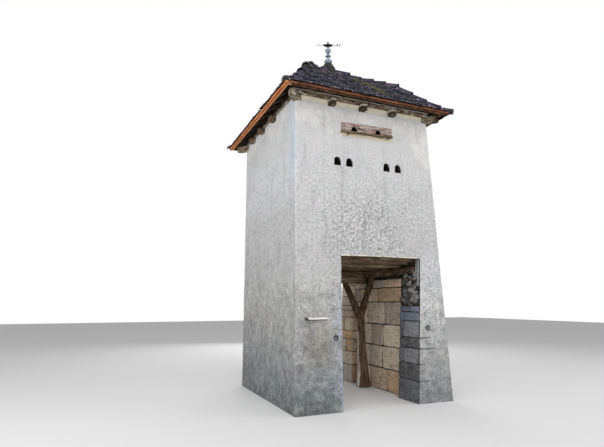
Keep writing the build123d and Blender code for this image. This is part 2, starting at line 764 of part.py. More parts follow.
def build_nodes():
    """Every piece of the tower by the name of its node."""
    pier_left, pier_right, plain_pier_right = gate_piers()
    left_lower, left_upper, right_lower, right_upper = side_walls()
    baulks, coats = lintels()
    cross, beam, joists, boards = floor_timbers()
    plank, ledge, brackets = pigeon_plank()
    long_beams, stubs, corners = eave_beams()
    slopes = four_sides(slope_outline(half_depth), slope_outline(half_width))
    hip_row = hip_cover()
    hips = [hip_row, right_copy(hip_row)]
    hips += [back_copy(row) for row in hips]
    cap = apex_cap() - solid_under_roof(0)
    for row in hips:
        cap -= row
    rings = [tether_ring(gate_left_x - left_ring_gate_distance, left_ring_height),
             tether_ring(gate_right_x + right_ring_gate_distance, right_ring_height)]
    return {
        "front_pier_left": pier_left,
        "front_pier_right": pier_right,
        "front_wall_over_gate": wall_course(left_x, pier_height, pigeon_hole_sill),
        "front_wall_hole_course": pigeon_hole_course(),
        "front_wall_middle": wall_over_pigeon_holes(),
        "front_wall_flight_course": flight_hole_course(),
        "front_wall_head": wall_course(left_x, flight_top, wall_head_height),
        "back_pier_left": back_copy(pier_left),
        "back_pier_right": back_copy(plain_pier_right),
        "back_wall": back_copy(wall_course(left_x, pier_height, wall_head_height)),
        "left_wall_lower": left_lower,
        "left_wall_upper": left_upper,
        "right_wall_lower": right_lower,
        "right_wall_upper": right_upper,
        "beam_fill": beam_fill(long_beams + stubs + corners),
        "gate_lintels": baulks,
        "lintel_coats": coats,
        "cross_beam": cross,
        "floor_beam": beam,
        "floor_joists": joists,
        "floor_boards": boards,
        "forked_post": forked_post(),
        "pigeon_plank": plank,
        "landing_ledge": ledge,
        "ledge_brackets": brackets,
        "eave_beams": long_beams,
        "side_beams": stubs,
        "corner_beams": corners,
        "wall_plates": four_sides(plate_outline(front_overhang), plate_outline(side_overhang)),
        "eave_sprockets": sprockets(),
        "eave_boards": four_sides(eave_board_outline(half_depth), eave_board_outline(half_width)),
        "eave_tiles": four_sides(eave_tile_outline(half_depth), eave_tile_outline(half_width)),
        "roof_front": slopes[0],
        "roof_back": slopes[1],
        "roof_left": slopes[2],
        "roof_right": slopes[3],
        "hip_tiles": hips,
        "apex_cap": cap,
        "finial": finial(),
        "vane_spindle": spindle(),
        "weathervane": weathervane(),
        "ring_eyes": [eye for ring, eye in rings],
        "ring_left": rings[0][0],
        "ring_right": rings[1][0],
        "wall_slab": wall_slab(),
    }


def solids_of(piece):
    """All solids of a piece or of a list of pieces."""
    if isinstance(piece, (list, ShapeList)):
        return [solid for item in piece for solid in item.solids()]
    return list(piece.solids())


os.makedirs("parts", exist_ok=True)
for name, piece in build_nodes().items():
    solids = solids_of(piece)
    shape = solids[0] if len(solids) == 1 else Compound(children=solids)
    export_step(shape, f"parts/{name}.step")
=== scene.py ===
import bmesh
import bpy
import math
import random
from mathutils import Matrix, Vector, noise


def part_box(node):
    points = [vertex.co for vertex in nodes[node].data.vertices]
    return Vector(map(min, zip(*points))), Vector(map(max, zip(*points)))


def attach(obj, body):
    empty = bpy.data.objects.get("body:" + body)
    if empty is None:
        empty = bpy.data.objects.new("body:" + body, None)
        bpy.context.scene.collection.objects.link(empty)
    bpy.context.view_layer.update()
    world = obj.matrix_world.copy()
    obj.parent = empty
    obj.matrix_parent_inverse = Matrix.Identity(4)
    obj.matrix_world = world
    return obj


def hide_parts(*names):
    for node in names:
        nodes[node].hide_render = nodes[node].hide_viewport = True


# The looks of a gateway dovecote tower, in metres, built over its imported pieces.
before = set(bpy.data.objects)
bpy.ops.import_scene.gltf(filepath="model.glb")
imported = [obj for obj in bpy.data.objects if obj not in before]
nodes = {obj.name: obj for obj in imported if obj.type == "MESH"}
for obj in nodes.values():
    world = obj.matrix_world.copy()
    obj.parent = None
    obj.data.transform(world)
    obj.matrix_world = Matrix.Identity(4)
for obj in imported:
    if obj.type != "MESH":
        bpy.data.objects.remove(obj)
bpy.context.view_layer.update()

# Camera at the photograph's place, from its perspective lines
camera_place = (-4.575, -9.12, 1.89)
camera_pitch = 9.85
camera_turn = 23.1
camera_lens = 27.24

# Lime render on the walls
coat = 0.012
coat_most = 0.019
coat_edge_drop = 0.01
coat_edge_rise = 0.023
corner_round = 0.016
front_cell = 0.022
side_cell = 0.05
hole_round = 0.018
hole_sunk = 0.008
edge_sunk = 0.006
coat_back = 0.02

# Open joints of the right pier's dressed stones that show on the front, as (height, right end, darkness)
quoin_joints = ((0.41, 1.32, 0.7), (0.72, 1.22, 0.35), (1.01, 1.5, 0.9), (1.215, 1.38, 0.8))
joint_half = 0.008
joint_depth = 0.009

# Courses of dressed stone in the passage and on the gateways' reveals, from the ground up
ashlar_rows = (0.0, 0.47, 0.95, 1.42, 1.91, 2.22, 2.41)
reveal_rows = (0.0, 0.41, 0.72, 1.01, 1.215, 1.535, 1.71, 1.83)
back_rows = reveal_rows + (2.05, 2.31, 2.6)
stone_proud = 0.018
reveal_set_back = 0.004
shoulder = 0.032

# Broken masonry at the top of the right reveal, and its strips of old plaster, as (from, to, foot)
rubble_count = 96
rubble_top = 2.42
strip_spans = ((0.03, 0.082, 2.22), (0.096, 0.132, 2.4))

# Flat roof tiles
tile_exposure = 0.105
tile_width = 0.165
tile_thick = 0.015
tile_cover = 2.1
tile_gap = 0.003
boards_under_tiles = 0.034
eave_tile_length = 0.12
eave_tile_thick = 0.016
eave_tile_layer = 0.018

# Half-round hip tiles
hip_low_radius = 0.097
hip_high_radius = 0.078
hip_thick = 0.015
hip_sink = 0.025
hip_tile_count = 9
hip_end = 0.93
hip_overlap = 0.045
hip_tile_tilt = 0.018
hip_first_drop = 0.022

# Heap of mortar under the front left hip's tiles, with its middle and spread as shares of the hip
heap_height = 0.085
heap_middle = 0.5
heap_spread = 0.15

# Meshes of the trunk and of the mortar cap
trunk_voxel = 0.014
cap_voxel = 0.013

# Stage
floor_half = 40
lamps_aim = (0, 0, 3.5)
soft_sky = 0.45
lamps = (("sky", (-4, -9, 13), 700, 9), ("side", (10, -7, 8), 300, 8), ("low", (-2, -12, 2.6), 250, 4),
         ("left", (-12, -4, 4.2), 420, 6), ("back", (4, 11, 6), 500, 8))

# Heights where the looks change, and places along the front where the right eave's shade begins
cream_from, cream_to = 5.66, 5.76
beam_tops_pale = 5.74
plate_top_pale = 5.86
slab_edge = 1.6
# The two long courses that take a painted cold highlight
blue_courses = (1.52, 1.84)
shade_on_beams = 1.6
shade_on_corners = 1.58
shade_on_plate = 1.72

wall_low, wall_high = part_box("front_wall_head")
tower_left, tower_front, wall_top = wall_low.x, wall_low.y, wall_high.z
tower_back = -tower_front
jamb_foot, foot_right = (corner.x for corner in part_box("front_pier_right"))
pier_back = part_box("front_pier_right")[1].y
gate_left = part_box("front_pier_left")[1].x
gate_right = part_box("right_wall_lower")[0].x
gate_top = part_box("lintel_coats")[0].z
jamb_lean = (gate_right - jamb_foot) / gate_top
eave_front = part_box("roof_front")[0].y
eave_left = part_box("roof_left")[0].x
ledge_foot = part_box("landing_ledge")[0].z
ledge_left, ledge_right = (corner.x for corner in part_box("landing_ledge"))
head_right = max(v.co.x for v in nodes["front_wall_head"].data.vertices if v.co.z > wall_top - 0.01)


def jamb_face(z):
    """The leaning right side of the gateway at a height."""
    return gate_right - jamb_lean * (gate_top - z)


def right_face(z):
    """The leaning right face of the walls at a height."""
    return foot_right + (head_right - foot_right) * z / wall_top


looks = {}


def evenly(*colours):
    """Colours as stops at even steps from 0 to 1."""
    return [(number / (len(colours) - 1), colour) for number, colour in enumerate(colours)]


class Shader:
    """A procedural material under its name in looks. Its colour is laid layer over layer."""

    def __init__(self, name, rough=0.85, specular=0.15, metallic=0.0):
        looks[name] = material = bpy.data.materials.new(name)
        material.use_nodes = True
        self.tree = material.node_tree
        self.surface = self.tree.nodes["Principled BSDF"]
        self.feed(self.surface, {"Roughness": rough, "Metallic": metallic, "Specular IOR Level": specular})
        self.place = self.node("TexCoord", {}, "Object")
        self.colour = None

    def feed(self, made, values):
        """Sets a node's inputs, or joins them to the outputs of others."""
        for name, value in values.items():
            socket = made.inputs[name]
            if isinstance(value, bpy.types.NodeSocket):
                self.tree.links.new(value, socket)
            else:
                socket.default_value = (*value, 1.0) if socket.type == "RGBA" else value

    def node(self, kind, values, output=0, **settings):
        """Adds a node and gives one of its outputs."""
        made = self.tree.nodes.new("ShaderNode" + kind)
        for name, value in settings.items():
            setattr(made, name, value)
        self.feed(made, values)
        return made.outputs[output]

    def noise(self, scale, detail=4.0, rough=0.55, stretch=None, bend=0.0):
        """Noise from 0 to 1. stretch squeezes the place along each axis."""
        place = self.node("Mapping", {"Vector": self.place, "Scale": stretch}) if stretch else self.place
        return self.node("TexNoise", {"Vector": place, "Scale": scale, "Detail": detail, "Roughness": rough,
                                      "Distortion": bend}, "Fac")

    def cells(self, scale, spread=0.0):
        """Distance to the nearest of scattered points. spread moves the place about by noise."""
        place = self.place
        if spread:
            waves = self.node("TexNoise", {"Vector": place, "Scale": scale * 1.4, "Detail": 3.0}, "Color")
            place = self.node("VectorMath", {0: waves, 1: (spread,) * 3, 2: place}, operation="MULTIPLY_ADD")
        return self.node("TexVoronoi", {"Vector": place, "Scale": scale}, "Distance")

    def island(self):
        """A different value from 0 to 1 on each loose piece of a mesh."""
        return self.node("NewGeometry", {}, "Random Per Island")

    def axis(self, letter):
        """One coordinate of the place, in metres."""
        return self.node("SeparateXYZ", {"Vector": self.place}, letter)

    def facing(self, letter):
        """One coordinate of the surface's own direction."""
        return self.node("SeparateXYZ", {"Vector": self.node("NewGeometry", {}, "Normal")}, letter)

    def step(self, value, low, high, to_low=0.0, to_high=1.0):
        """Maps a value from one range to another, smoothly and clamped."""
        return self.node("MapRange", {"Value": value, "From Min": low, "From Max": high, "To Min": to_low,
                                      "To Max": to_high}, "Result", interpolation_type="SMOOTHSTEP")

    def patches(self, scale, detail, rough, low, high, most=1.0):
        """Noise as a share from 0 to most, where it goes from low to high."""
        return self.step(self.noise(scale, detail, rough), low, high, 0, most)

    def sum(self, kind, first, second):
        return self.node("Math", {0: first, 1: second}, operation=kind)

    def times(self, product, *others):
        for other in others:
            product = self.sum("MULTIPLY", product, other)
        return product

    def stirred(self, value, scale, spread, detail=4):
        """A value moved up and down by noise, by half a spread each way."""
        moved = self.sum("SUBTRACT", self.noise(scale, detail, 0.6), 0.5)
        return self.sum("ADD", value, self.times(moved, spread))

    def near(self, value, place, width):
        """1 where a value is at a place, falling to 0 at a width from it."""
        return self.step(self.sum("ABSOLUTE", self.sum("SUBTRACT", value, place), 0.0), width, width * 0.4)

    def bands(self, value, stops):
        """Colours along a value, as (place, colour) stops."""
        made = self.tree.nodes.new("ShaderNodeValToRGB")
        self.feed(made, {"Fac": value})
        elements = made.color_ramp.elements
        while len(elements) < len(stops):
            elements.new(0.5)
        for element, (place, colour) in zip(elements, stops):
            element.position = place
            element.color = (*colour, 1.0)
        return made.outputs["Color"]

    def lay(self, to, *shares, blend="MIX"):
        """Lays a colour over the one so far, as far as the product of the shares says."""
        layers = {"Factor": self.times(*shares), "A": self.colour, "B": to}
        self.colour = self.node("Mix", layers, "Result", data_type="RGBA", blend_type=blend)

    def dim(self, by, *shares):
        """Multiplies the colour so far by another one, as far as the product of the shares says."""
        self.lay(by, *shares, blend="MULTIPLY")

    def paint(self, *reliefs):
        """Puts the colour on the surface, with bumps one over another as (height, depth in metres)."""
        bumps = {}
        for height, depth in reliefs:
            values = {"Strength": 1.0, "Distance": depth, "Height": height, **bumps}
            bumps = {"Normal": self.node("Bump", values)}
        self.feed(self.surface, {"Base Color": self.colour, **bumps})


def lime_render():
    """Rough grey lime render: cream under the eave, blotched and dark at the foot, pitted over the gate."""
    s = Shader("lime_render", 0.95, 0.1)
    height, across = s.axis("Z"), s.axis("X")
    on_front, on_left = s.step(s.facing("Y"), -0.4, -0.7), s.step(s.facing("X"), -0.5, -0.8)
    tone = s.sum("ADD", s.stirred(height, 1.4, 1.9, 6), s.step(across, 0.5, 1.3, 0, 0.4))
    s.colour = s.bands(s.times(tone, 1 / wall_top), [
        (0.0, (0.15, 0.165, 0.165)), (0.08, (0.23, 0.25, 0.265)), (0.2, (0.33, 0.335, 0.335)),
        (0.3, (0.42, 0.42, 0.415)), (0.42, (0.5, 0.5, 0.5)), (0.6, (0.51, 0.51, 0.515)),
        (0.8, (0.545, 0.545, 0.555)), (0.93, (0.59, 0.59, 0.59)), (1.0, (0.74, 0.73, 0.71))])
    tint = s.noise(5, 5, 0.6)
    s.lay((0.5, 0.54, 0.51), s.step(tint, 0.5, 0.68, 0, 0.25))
    s.lay((0.6, 0.53, 0.57), s.step(tint, 0.5, 0.33, 0, 0.25))

    # Blotches, runs, clouds, lumps and specks, strong on the low wall and quiet on the high one
    low_wall = s.step(height, 3.0, 1.4)
    blotches = s.noise(6.5, 3, 0.55)
    s.dim((0.6, 0.62, 0.62), s.step(blotches, 0.5, 0.36, 0, 0.5), low_wall)
    s.dim((1.3, 1.28, 1.24), s.step(blotches, 0.52, 0.66, 0, 0.5), low_wall)
    s.dim((0.55, 0.55, 0.56), s.step(s.noise(8, 5, 0.6, (1, 1, 0.1)), 0.52, 0.74, 0, 0.4))
    s.dim((0.68, 0.68, 0.69), s.patches(3.2, 6, 0.65, 0.52, 0.3, 0.4))
    # Painted shade and painted highlights on the lumps of the roughcast, quieter up high
    lumps = s.noise(19, 5, 0.72)
    quiet = s.step(height, 5.1, 4.2, 0.45, 1)
    s.dim((0.58, 0.58, 0.58), s.step(lumps, 0.5, 0.36, 0, 0.7), quiet)
    s.dim((1.25, 1.24, 1.21), s.step(lumps, 0.52, 0.66, 0, 0.8), quiet)
    specks = s.noise(42, 4, 0.7)
    s.dim((0.66, 0.65, 0.64), s.step(specks, 0.48, 0.38), low_wall)
    s.dim((1.2, 1.19, 1.17), s.step(specks, 0.54, 0.64), low_wall)

    # Painted cold blue shade beside the gateway's left edge, stain under the slab, paler right pier
    edge = s.stirred(across, 3, 0.3)
    s.lay((0.46, 0.51, 0.62), s.step(edge, gate_left - 0.22, gate_left - 0.08),
          s.step(across, gate_left + 0.1, gate_left + 0.05), s.step(s.stirred(height, 2, 1.2), 2.3, 1.7),
          s.patches(4, 5, 0.65, 0.42, 0.56), 0.55)
    s.dim((0.88, 0.85, 0.8), s.near(s.stirred(across, 2, 0.3), -1.02, 0.36),
          s.near(s.stirred(height, 2, 0.4), 1.15, 0.5))
    s.dim((1.17, 1.18, 1.2), s.step(across, 1.05, 1.2), s.step(height, 3.1, 2.6),
          s.step(height, 0.6, 1.6, 0.3, 1))

    # Pits over the gate, thinner beside it and scattered elsewhere, darkened with painted shade in their
    # hollows
    wide = s.stirred(across, 2, 0.6)
    over_gate = s.times(s.step(s.stirred(height, 2, 0.8), 4.35, 3.35), s.step(height, 2.5, 2.9),
                        s.step(wide, -1.15, -0.6), s.step(wide, 0.15, 1.1, 1, 0.35))
    scattered = s.times(s.patches(1.7, 4, 0.6, 0.45, 0.65, 0.5), s.step(height, 5.0, 3.6, 0.12, 1))
    s.dim((0.74, 0.74, 0.74), s.step(lumps, 0.56, 0.42), over_gate)
    s.dim((1.06, 1.06, 1.06), s.step(height, 2.6, 3.2), s.step(height, 5.2, 4.4))
    s.dim((1.08, 1.08, 1.08), over_gate)
    by_gate = s.times(s.step(edge, gate_left - 0.36, gate_left - 0.2), s.step(height, 1.2, 1.7),
                      s.step(height, 2.9, 2.6, 0, 0.8))
    uneven = s.sum("ADD", s.cells(25, 0.05), s.times(s.noise(16, 3, 0.6), 0.35))
    pitted = s.sum("MAXIMUM", s.sum("MAXIMUM", over_gate, scattered), by_gate)
    pits = s.times(s.step(uneven, 0.55, 0.34), pitted)
    s.dim((0.36, 0.35, 0.34), pits, 0.9)
    # Painted highlights on the grains of the roughcast
    s.dim((1.22, 1.2, 1.16), s.step(s.cells(62), 0.25, 0.1), 0.6)

    # Cream under the eave, painted light on the left side, stain under the ledge, pale arris over the gate,
    # painted bluish shade at the left corner
    s.lay((0.9, 0.82, 0.6), s.step(s.stirred(height, 6, 0.2), cream_from, cream_to, 0, 0.85), on_front)
    # Painted light: the left side paler where light falls on it
    s.dim((1.16, 1.17, 1.18), on_left, s.step(height, 3.2, 4.4))
    s.lay((0.74, 0.6, 0.36), s.near(s.stirred(height, 9, 0.02), ledge_foot - 0.012, 0.036),
          s.step(across, ledge_left - 0.06, ledge_left + 0.06),
          s.step(across, ledge_right + 0.06, ledge_right - 0.06), on_front, 0.75)
    s.lay((0.86, 0.8, 0.68), s.near(height, gate_top + 0.006, 0.02), s.patches(9, 5, 0.7, 0.42, 0.52),
          s.step(across, gate_left - 0.02, gate_left + 0.02),
          s.step(across, gate_right + 0.01, gate_right - 0.03), on_front)
    # Painted bluish shade high on the left side near the front corner
    s.lay((0.5, 0.6, 0.75), on_left, s.step(s.axis("Y"), -1.05, -1.4), s.step(height, 3.6, 4.6), 0.35)
    wavy = s.stirred(height, 5, 0.03)
    for level, end, share in quoin_joints:
        s.lay((0.07, 0.065, 0.06), s.near(wavy, level, joint_half * 2), s.step(across, end, end - 0.08),
              s.step(across, jamb_foot - 0.08, jamb_foot - 0.04), on_front, share)
    s.paint((s.noise(24, 6, 0.7), 0.012), (s.noise(90, 5, 0.7), 0.004), (s.times(pits, -1), 0.006))


def stone(name, colours, stain, dark, blue=False):
    """Limestone blocks, each of its own shade, with pits and bedding lines.

    blue lays a painted cold highlight on the two long courses at the gateway's middle.
    """
    s = Shader(name, 0.9, 0.2)
    s.colour = s.bands(s.island(), colours)
    s.lay(stain, s.patches(6, 6, 0.65, 0.42, 0.7, 0.4))
    s.lay(dark, s.patches(9, 6, 0.7, 0.5, 0.3, 0.75))
    beds = s.noise(14, 4, 0.6, (0.35, 0.35, 2.2))
    s.dim((0.45, 0.41, 0.38), s.step(beds, 0.5, 0.72, 0, 0.6))
    s.dim((0.42, 0.4, 0.38), s.patches(30, 5, 0.7, 0.5, 0.36, 0.7))
    s.dim((1.4, 1.38, 1.34), s.patches(30, 5, 0.7, 0.55, 0.68, 0.8))
    if blue:
        low, high = blue_courses
        height = s.axis("Z")
        # Painted cold highlight on the two long courses
        s.lay((0.2, 0.235, 0.33), s.step(height, low - 0.02, low + 0.02),
              s.step(height, high + 0.02, high - 0.02), 0.55)
    pits = s.step(s.cells(34), 0.2, 0.06)
    s.dim((0.3, 0.26, 0.22), pits, 0.6)
    s.paint((s.noise(35, 6, 0.7), 0.007), (beds, 0.005), (s.times(pits, -1), 0.004))


def timber(name, dark, middle, pale, grain, warm, chips=0.0, chip_from=0.54, pale_above=None, shaded=None,
           dim_front=None, left_dark=False):
    """Old wood: long grain, drying cracks, grey or brown patches, and pale chipped places.

    It is paler above the height pale_above, darkened with painted shade to the right of the place shaded
    and dim in front of dim_front. left_dark puts its left side in the painted deep shade of the eave.
    """
    s = Shader(name, 0.82, 0.2)
    fibres = s.noise(38, 6, 0.65, grain, 0.6)
    s.colour = s.bands(fibres, [(0.3, dark), (0.5, middle), (0.72, pale)])
    s.lay(warm, s.patches(4.5, 5, 0.6, 0.5, 0.75, 0.5))
    s.dim((0.6, 0.58, 0.55), s.island(), 0.5)
    if chips:
        spots = s.noise(11, 5, 0.7, [g ** 0.4 for g in grain])
        s.lay((0.66, 0.61, 0.53), s.step(spots, chip_from, chip_from + 0.12), chips)
    streaks = s.noise(16, 5, 0.65, [g ** 0.7 for g in grain], 0.3)
    s.dim((0.35, 0.32, 0.3), s.step(streaks, 0.5, 0.34, 0, 0.8))
    cracks = s.step(s.noise(55, 3, 0.5, [g * 0.6 for g in grain], 0.3), 0.36, 0.3)
    s.lay([c * 0.3 for c in dark], cracks, 0.75)
    if pale_above:
        s.lay((0.72, 0.67, 0.58), s.step(s.axis("Z"), pale_above, pale_above + 0.02),
              s.patches(7, 5, 0.7, 0.36, 0.48), 0.9)
    if shaded:
        s.dim((0.1, 0.09, 0.09), s.step(s.axis("X"), shaded - 0.06, shaded + 0.06))
    if left_dark:
        s.dim((0.16, 0.14, 0.13), s.step(s.facing("X"), -0.4, -0.7))
    # Painted shade towards the front of the passage
    if dim_front:
        s.dim((0.4, 0.36, 0.34), s.step(s.stirred(s.axis("Y"), 3, 0.2), dim_front + 0.3, dim_front, 0, 0.85))
    s.paint((fibres, 0.005), (s.times(cracks, -1), 0.006))


def trunk_wood():
    """A bare dark trunk, fluted, with a painted sunlit streak low on its left side."""
    s = Shader("trunk")
    fibres = s.noise(30, 6, 0.65, (1, 1, 0.08), 0.6)
    s.colour = s.bands(fibres, [(0.3, (0.035, 0.024, 0.017)), (0.5, (0.13, 0.088, 0.06)),
                                (0.72, (0.34, 0.25, 0.17))])
    s.lay((0.2, 0.105, 0.05), s.patches(4.5, 5, 0.6, 0.5, 0.75, 0.5))
    height = s.axis("Z")
    # Painted sunlight: a pale streak low on the trunk's left side
    s.lay((0.86, 0.79, 0.68), s.step(s.stirred(s.facing("X"), 9, 0.12), -0.86, -0.96),
          s.step(s.stirred(height, 3, 0.5), 1.5, 1.2), 0.9)
    s.dim((0.35, 0.3, 0.27), s.step(s.noise(13, 5, 0.65, (1, 1, 0.12), 0.4), 0.5, 0.36, 0, 0.9))
    s.dim((0.55, 0.47, 0.4), s.step(s.stirred(height, 5, 0.4), 1.4, 2.0, 0, 0.8))
    cracks = s.step(s.noise(40, 3, 0.5, (1, 1, 0.06), 0.3), 0.38, 0.32)
    s.lay((0.02, 0.013, 0.009), cracks, 0.8)
    s.paint((fibres, 0.008), (s.times(cracks, -1), 0.008))


def clay(name, shades, bloom, ends, moss):
    """Weathered clay tiles, each of its own shade, with lichen bloom, pale lower ends and specks painted as
    highlights, and moss.
    """
    s = Shader(name)
    s.colour = s.bands(s.island(), shades)
    s.lay(bloom, s.patches(13, 6, 0.7, 0.53, 0.66, 0.6))
    s.lay((0.006, 0.006, 0.009), s.patches(24, 5, 0.7, 0.5, 0.36, 0.8))
    # Painted highlights: pale specks and pale lower ends of the tiles
    s.lay(ends, s.step(s.cells(30, 0.03), 0.25, 0.1), s.patches(3.2, 5, 0.65, 0.5, 0.62), 0.7)
    s.lay(ends, s.step(s.facing("Z"), 0.3, 0.05), s.patches(17, 5, 0.7, 0.5, 0.62))
    s.lay((0.09, 0.1, 0.03), s.patches(2.4, 6, 0.7, 0.6, 0.66), moss)
    across = s.axis("X")
    off = s.sum("ADD", s.stirred(s.axis("Y"), 7, 0.16), s.sum("ADD", s.times(across, 0.7), 1.15))
    s.lay((0.185, 0.18, 0.055), s.near(off, 0.0, 0.15), s.step(across, -0.2, 0.0), s.step(across, 0.7, 0.45),
          s.patches(12, 6, 0.7, 0.44, 0.54), moss)
    s.paint((s.noise(60, 5, 0.7), 0.004), (s.noise(16, 4, 0.6), 0.006))


def eave_clay():
    """The doubled eave course: fresh orange lit by painted light on the left, red brown in front, near black
    painted shade on the right.
    """
    s = Shader("orange_tile")
    across, one_tile = s.axis("X"), s.island()
    s.colour = s.bands(one_tile, evenly((0.13, 0.048, 0.026), (0.28, 0.1, 0.045), (0.48, 0.2, 0.09)))
    fresh = s.bands(one_tile, evenly((0.56, 0.19, 0.065), (0.74, 0.3, 0.11), (0.86, 0.42, 0.19)))
    # Painted light: the bright orange only on the lit left side
    s.lay(fresh, s.step(across, -1.78, -1.84))
    # Painted shade of the right eave
    s.lay((0.03, 0.02, 0.018), s.step(across, 1.76, 1.82))
    s.dim((0.4, 0.36, 0.34), s.patches(11, 5, 0.7, 0.5, 0.36, 0.7))
    s.paint((s.noise(60, 5, 0.7), 0.004))


def eave_wood():
    """Boards under the eave course: red brown, orange with painted light where they show on the left, and
    dark with painted shade on the right.
    """
    s = Shader("eave_board")
    across, fibres = s.axis("X"), s.noise(17, 6, 0.7)
    s.colour = s.bands(fibres, [(0.35, (0.015, 0.009, 0.006)), (0.5, (0.08, 0.042, 0.025)),
                                (0.68, (0.28, 0.15, 0.085))])
    # Painted light on the left side
    s.lay((0.62, 0.27, 0.12), s.step(across, -1.72, -1.76), s.step(fibres, 0.3, 0.5, 0.6, 1))
    # Painted shade of the right eave
    s.dim((0.1, 0.09, 0.09), s.step(across, 1.68, 1.76))
    s.paint((fibres, 0.004))


def metal(name, colour, stain, rough, metallic, specular=0.4):
    """Weathered metal with stains and dents."""
    s = Shader(name, rough, specular, metallic)
    s.colour = colour
    s.lay(stain, s.patches(26, 6, 0.7, 0.4, 0.65))
    s.feed(s.surface, {"Roughness": s.step(s.noise(26, 6, 0.7), 0.3, 0.7, rough - 0.1, rough + 0.15)})
    s.paint((s.noise(60, 4, 0.6), 0.002))


def joint_and_painted_shade():
    """Earthy mortar deep between stones, and painted shade on the wall cores that show inside the wall."""
    s = Shader("joint_and_painted_shade", 0.97, 0.05)
    s.colour = s.bands(s.noise(12, 5, 0.7), [(0.35, (0.018, 0.015, 0.013)), (0.6, (0.05, 0.04, 0.032)),
                                             (0.75, (0.1, 0.08, 0.062))])
    s.paint((s.noise(30, 6, 0.7), 0.01))


def slab_face():
    """A grey slab with painted light on its pale upper face, a dark left end and painted shadow on its dark
    underside.
    """
    s = Shader("slab_stone", 0.92, 0.1)
    s.colour = s.bands(s.noise(14, 6, 0.7), [(0.35, (0.24, 0.235, 0.225)), (0.5, (0.42, 0.41, 0.395)),
                                             (0.7, (0.6, 0.59, 0.57))])
    height = s.stirred(s.axis("Z"), 12, 0.012)
    # Painted light on the upper face
    s.lay((0.88, 0.85, 0.79), s.step(height, slab_edge + 0.002, slab_edge + 0.01, 0, 0.9))
    # Painted shadow under the edge
    s.dim((0.08, 0.06, 0.045), s.step(height, slab_edge, slab_edge - 0.006))
    s.dim((0.1, 0.095, 0.09), s.step(s.stirred(s.axis("X"), 8, 0.05), -1.26, -1.3))
    s.paint((s.noise(35, 6, 0.7), 0.006))


def mortar(name, dark, middle, pale, mossy):
    """Lime mortar with moss and lichen."""
    s = Shader(name, 0.95, 0.1)
    s.colour = s.bands(s.noise(9, 6, 0.7), [(0.35, dark), (0.55, middle), (0.7, pale)])
    s.lay(mossy, s.patches(5, 6, 0.7, 0.48, 0.62, 0.8))
    s.dim((0.4, 0.38, 0.35), s.patches(30, 5, 0.7, 0.52, 0.36, 0.8))
    s.paint((s.noise(45, 6, 0.75), 0.01))


oak = ((0.035, 0.024, 0.015), (0.17, 0.115, 0.067), (0.5, 0.38, 0.24))
silver = ((0.016, 0.011, 0.007), (0.14, 0.092, 0.054), (0.72, 0.57, 0.4))
lime_render()
joint_and_painted_shade()
# The ashlar's tones are partly the stone's own and partly painted sunlight: warmed, with cream blocks for
# sunlit ones
stone("warm_stone", evenly((0.64, 0.47, 0.38), (1.0, 0.9, 0.74), (0.86, 0.55, 0.31), (0.6, 0.55, 0.52),
                           (1.0, 0.88, 0.68)), (0.8, 0.7, 0.54), (0.28, 0.21, 0.15))
# The reveal stones' dark, cold grey is painted shade: the reveal faces left, away from the light
stone("reveal_stone", [(0.0, (0.06, 0.06, 0.066)), (0.3, (0.19, 0.2, 0.225)), (0.6, (0.1, 0.1, 0.103)),
                       (1.0, (0.29, 0.3, 0.33))], (0.24, 0.24, 0.24), (0.016, 0.015, 0.015), blue=True)
# The rubble's near black is painted shade under the lintel
stone("rubble_stone", evenly((0.035, 0.031, 0.029), (0.13, 0.12, 0.115), (0.34, 0.34, 0.35)),
      (0.14, 0.12, 0.1), (0.02, 0.017, 0.015))
slab_face()
timber("old_oak", *oak, (0.08, 1, 1), (0.14, 0.08, 0.04), 0.35)
timber("old_oak_deep", *oak, (1, 0.08, 1), (0.14, 0.08, 0.04), 0.35, dim_front=tower_front + 0.75)
trunk_wood()
timber("beam_end", (0.01, 0.007, 0.005), (0.055, 0.037, 0.024), (0.2, 0.145, 0.1), (1, 0.08, 1),
       (0.07, 0.04, 0.022), 0.2, pale_above=beam_tops_pale)
timber("side_beam_end", (0.03, 0.02, 0.014), (0.15, 0.1, 0.065), (0.4, 0.3, 0.2), (0.08, 1, 1),
       (0.22, 0.12, 0.06), 0.4, shaded=shade_on_beams)
timber("corner_timber", (0.05, 0.035, 0.025), (0.22, 0.165, 0.11), (0.6, 0.52, 0.4), (0.5, 0.5, 1),
       (0.3, 0.26, 0.1), 0.8, shaded=shade_on_corners)
timber("plate", *silver, (0.25, 1, 1), (0.2, 0.11, 0.06), 0.9, 0.5, plate_top_pale, shade_on_plate,
       left_dark=True)
# The soffit's near black is painted shade under the eaves
timber("soffit", (0.006, 0.005, 0.004), (0.018, 0.013, 0.01), (0.05, 0.034, 0.024), (0.3, 0.3, 1),
       (0.03, 0.018, 0.012))
timber("sprocket", (0.012, 0.009, 0.007), (0.05, 0.035, 0.024), (0.13, 0.095, 0.065), (1, 0.08, 1),
       (0.06, 0.035, 0.02), shaded=shade_on_beams)
eave_wood()
timber("plank", (0.06, 0.036, 0.03), (0.4, 0.29, 0.26), (0.78, 0.68, 0.65), (0.16, 1, 0.8),
       (0.17, 0.085, 0.06), 0.85)
timber("ledge", (0.035, 0.026, 0.014), (0.15, 0.115, 0.062), (0.36, 0.3, 0.21), (0.07, 1, 0.8),
       (0.24, 0.16, 0.07), 0.75)
clay("dark_tile", [(0.0, (0.013, 0.0145, 0.022)), (0.5, (0.028, 0.03, 0.045)), (0.85, (0.052, 0.052, 0.074)),
                   (1.0, (0.09, 0.078, 0.1))], (0.08, 0.092, 0.14), (0.38, 0.32, 0.38), 0.75)
clay("hip_tile", [(0.0, (0.018, 0.018, 0.032)), (0.7, (0.05, 0.046, 0.075)), (1.0, (0.13, 0.095, 0.13))],
     (0.14, 0.13, 0.24), (0.48, 0.37, 0.46), 0.4)
eave_clay()
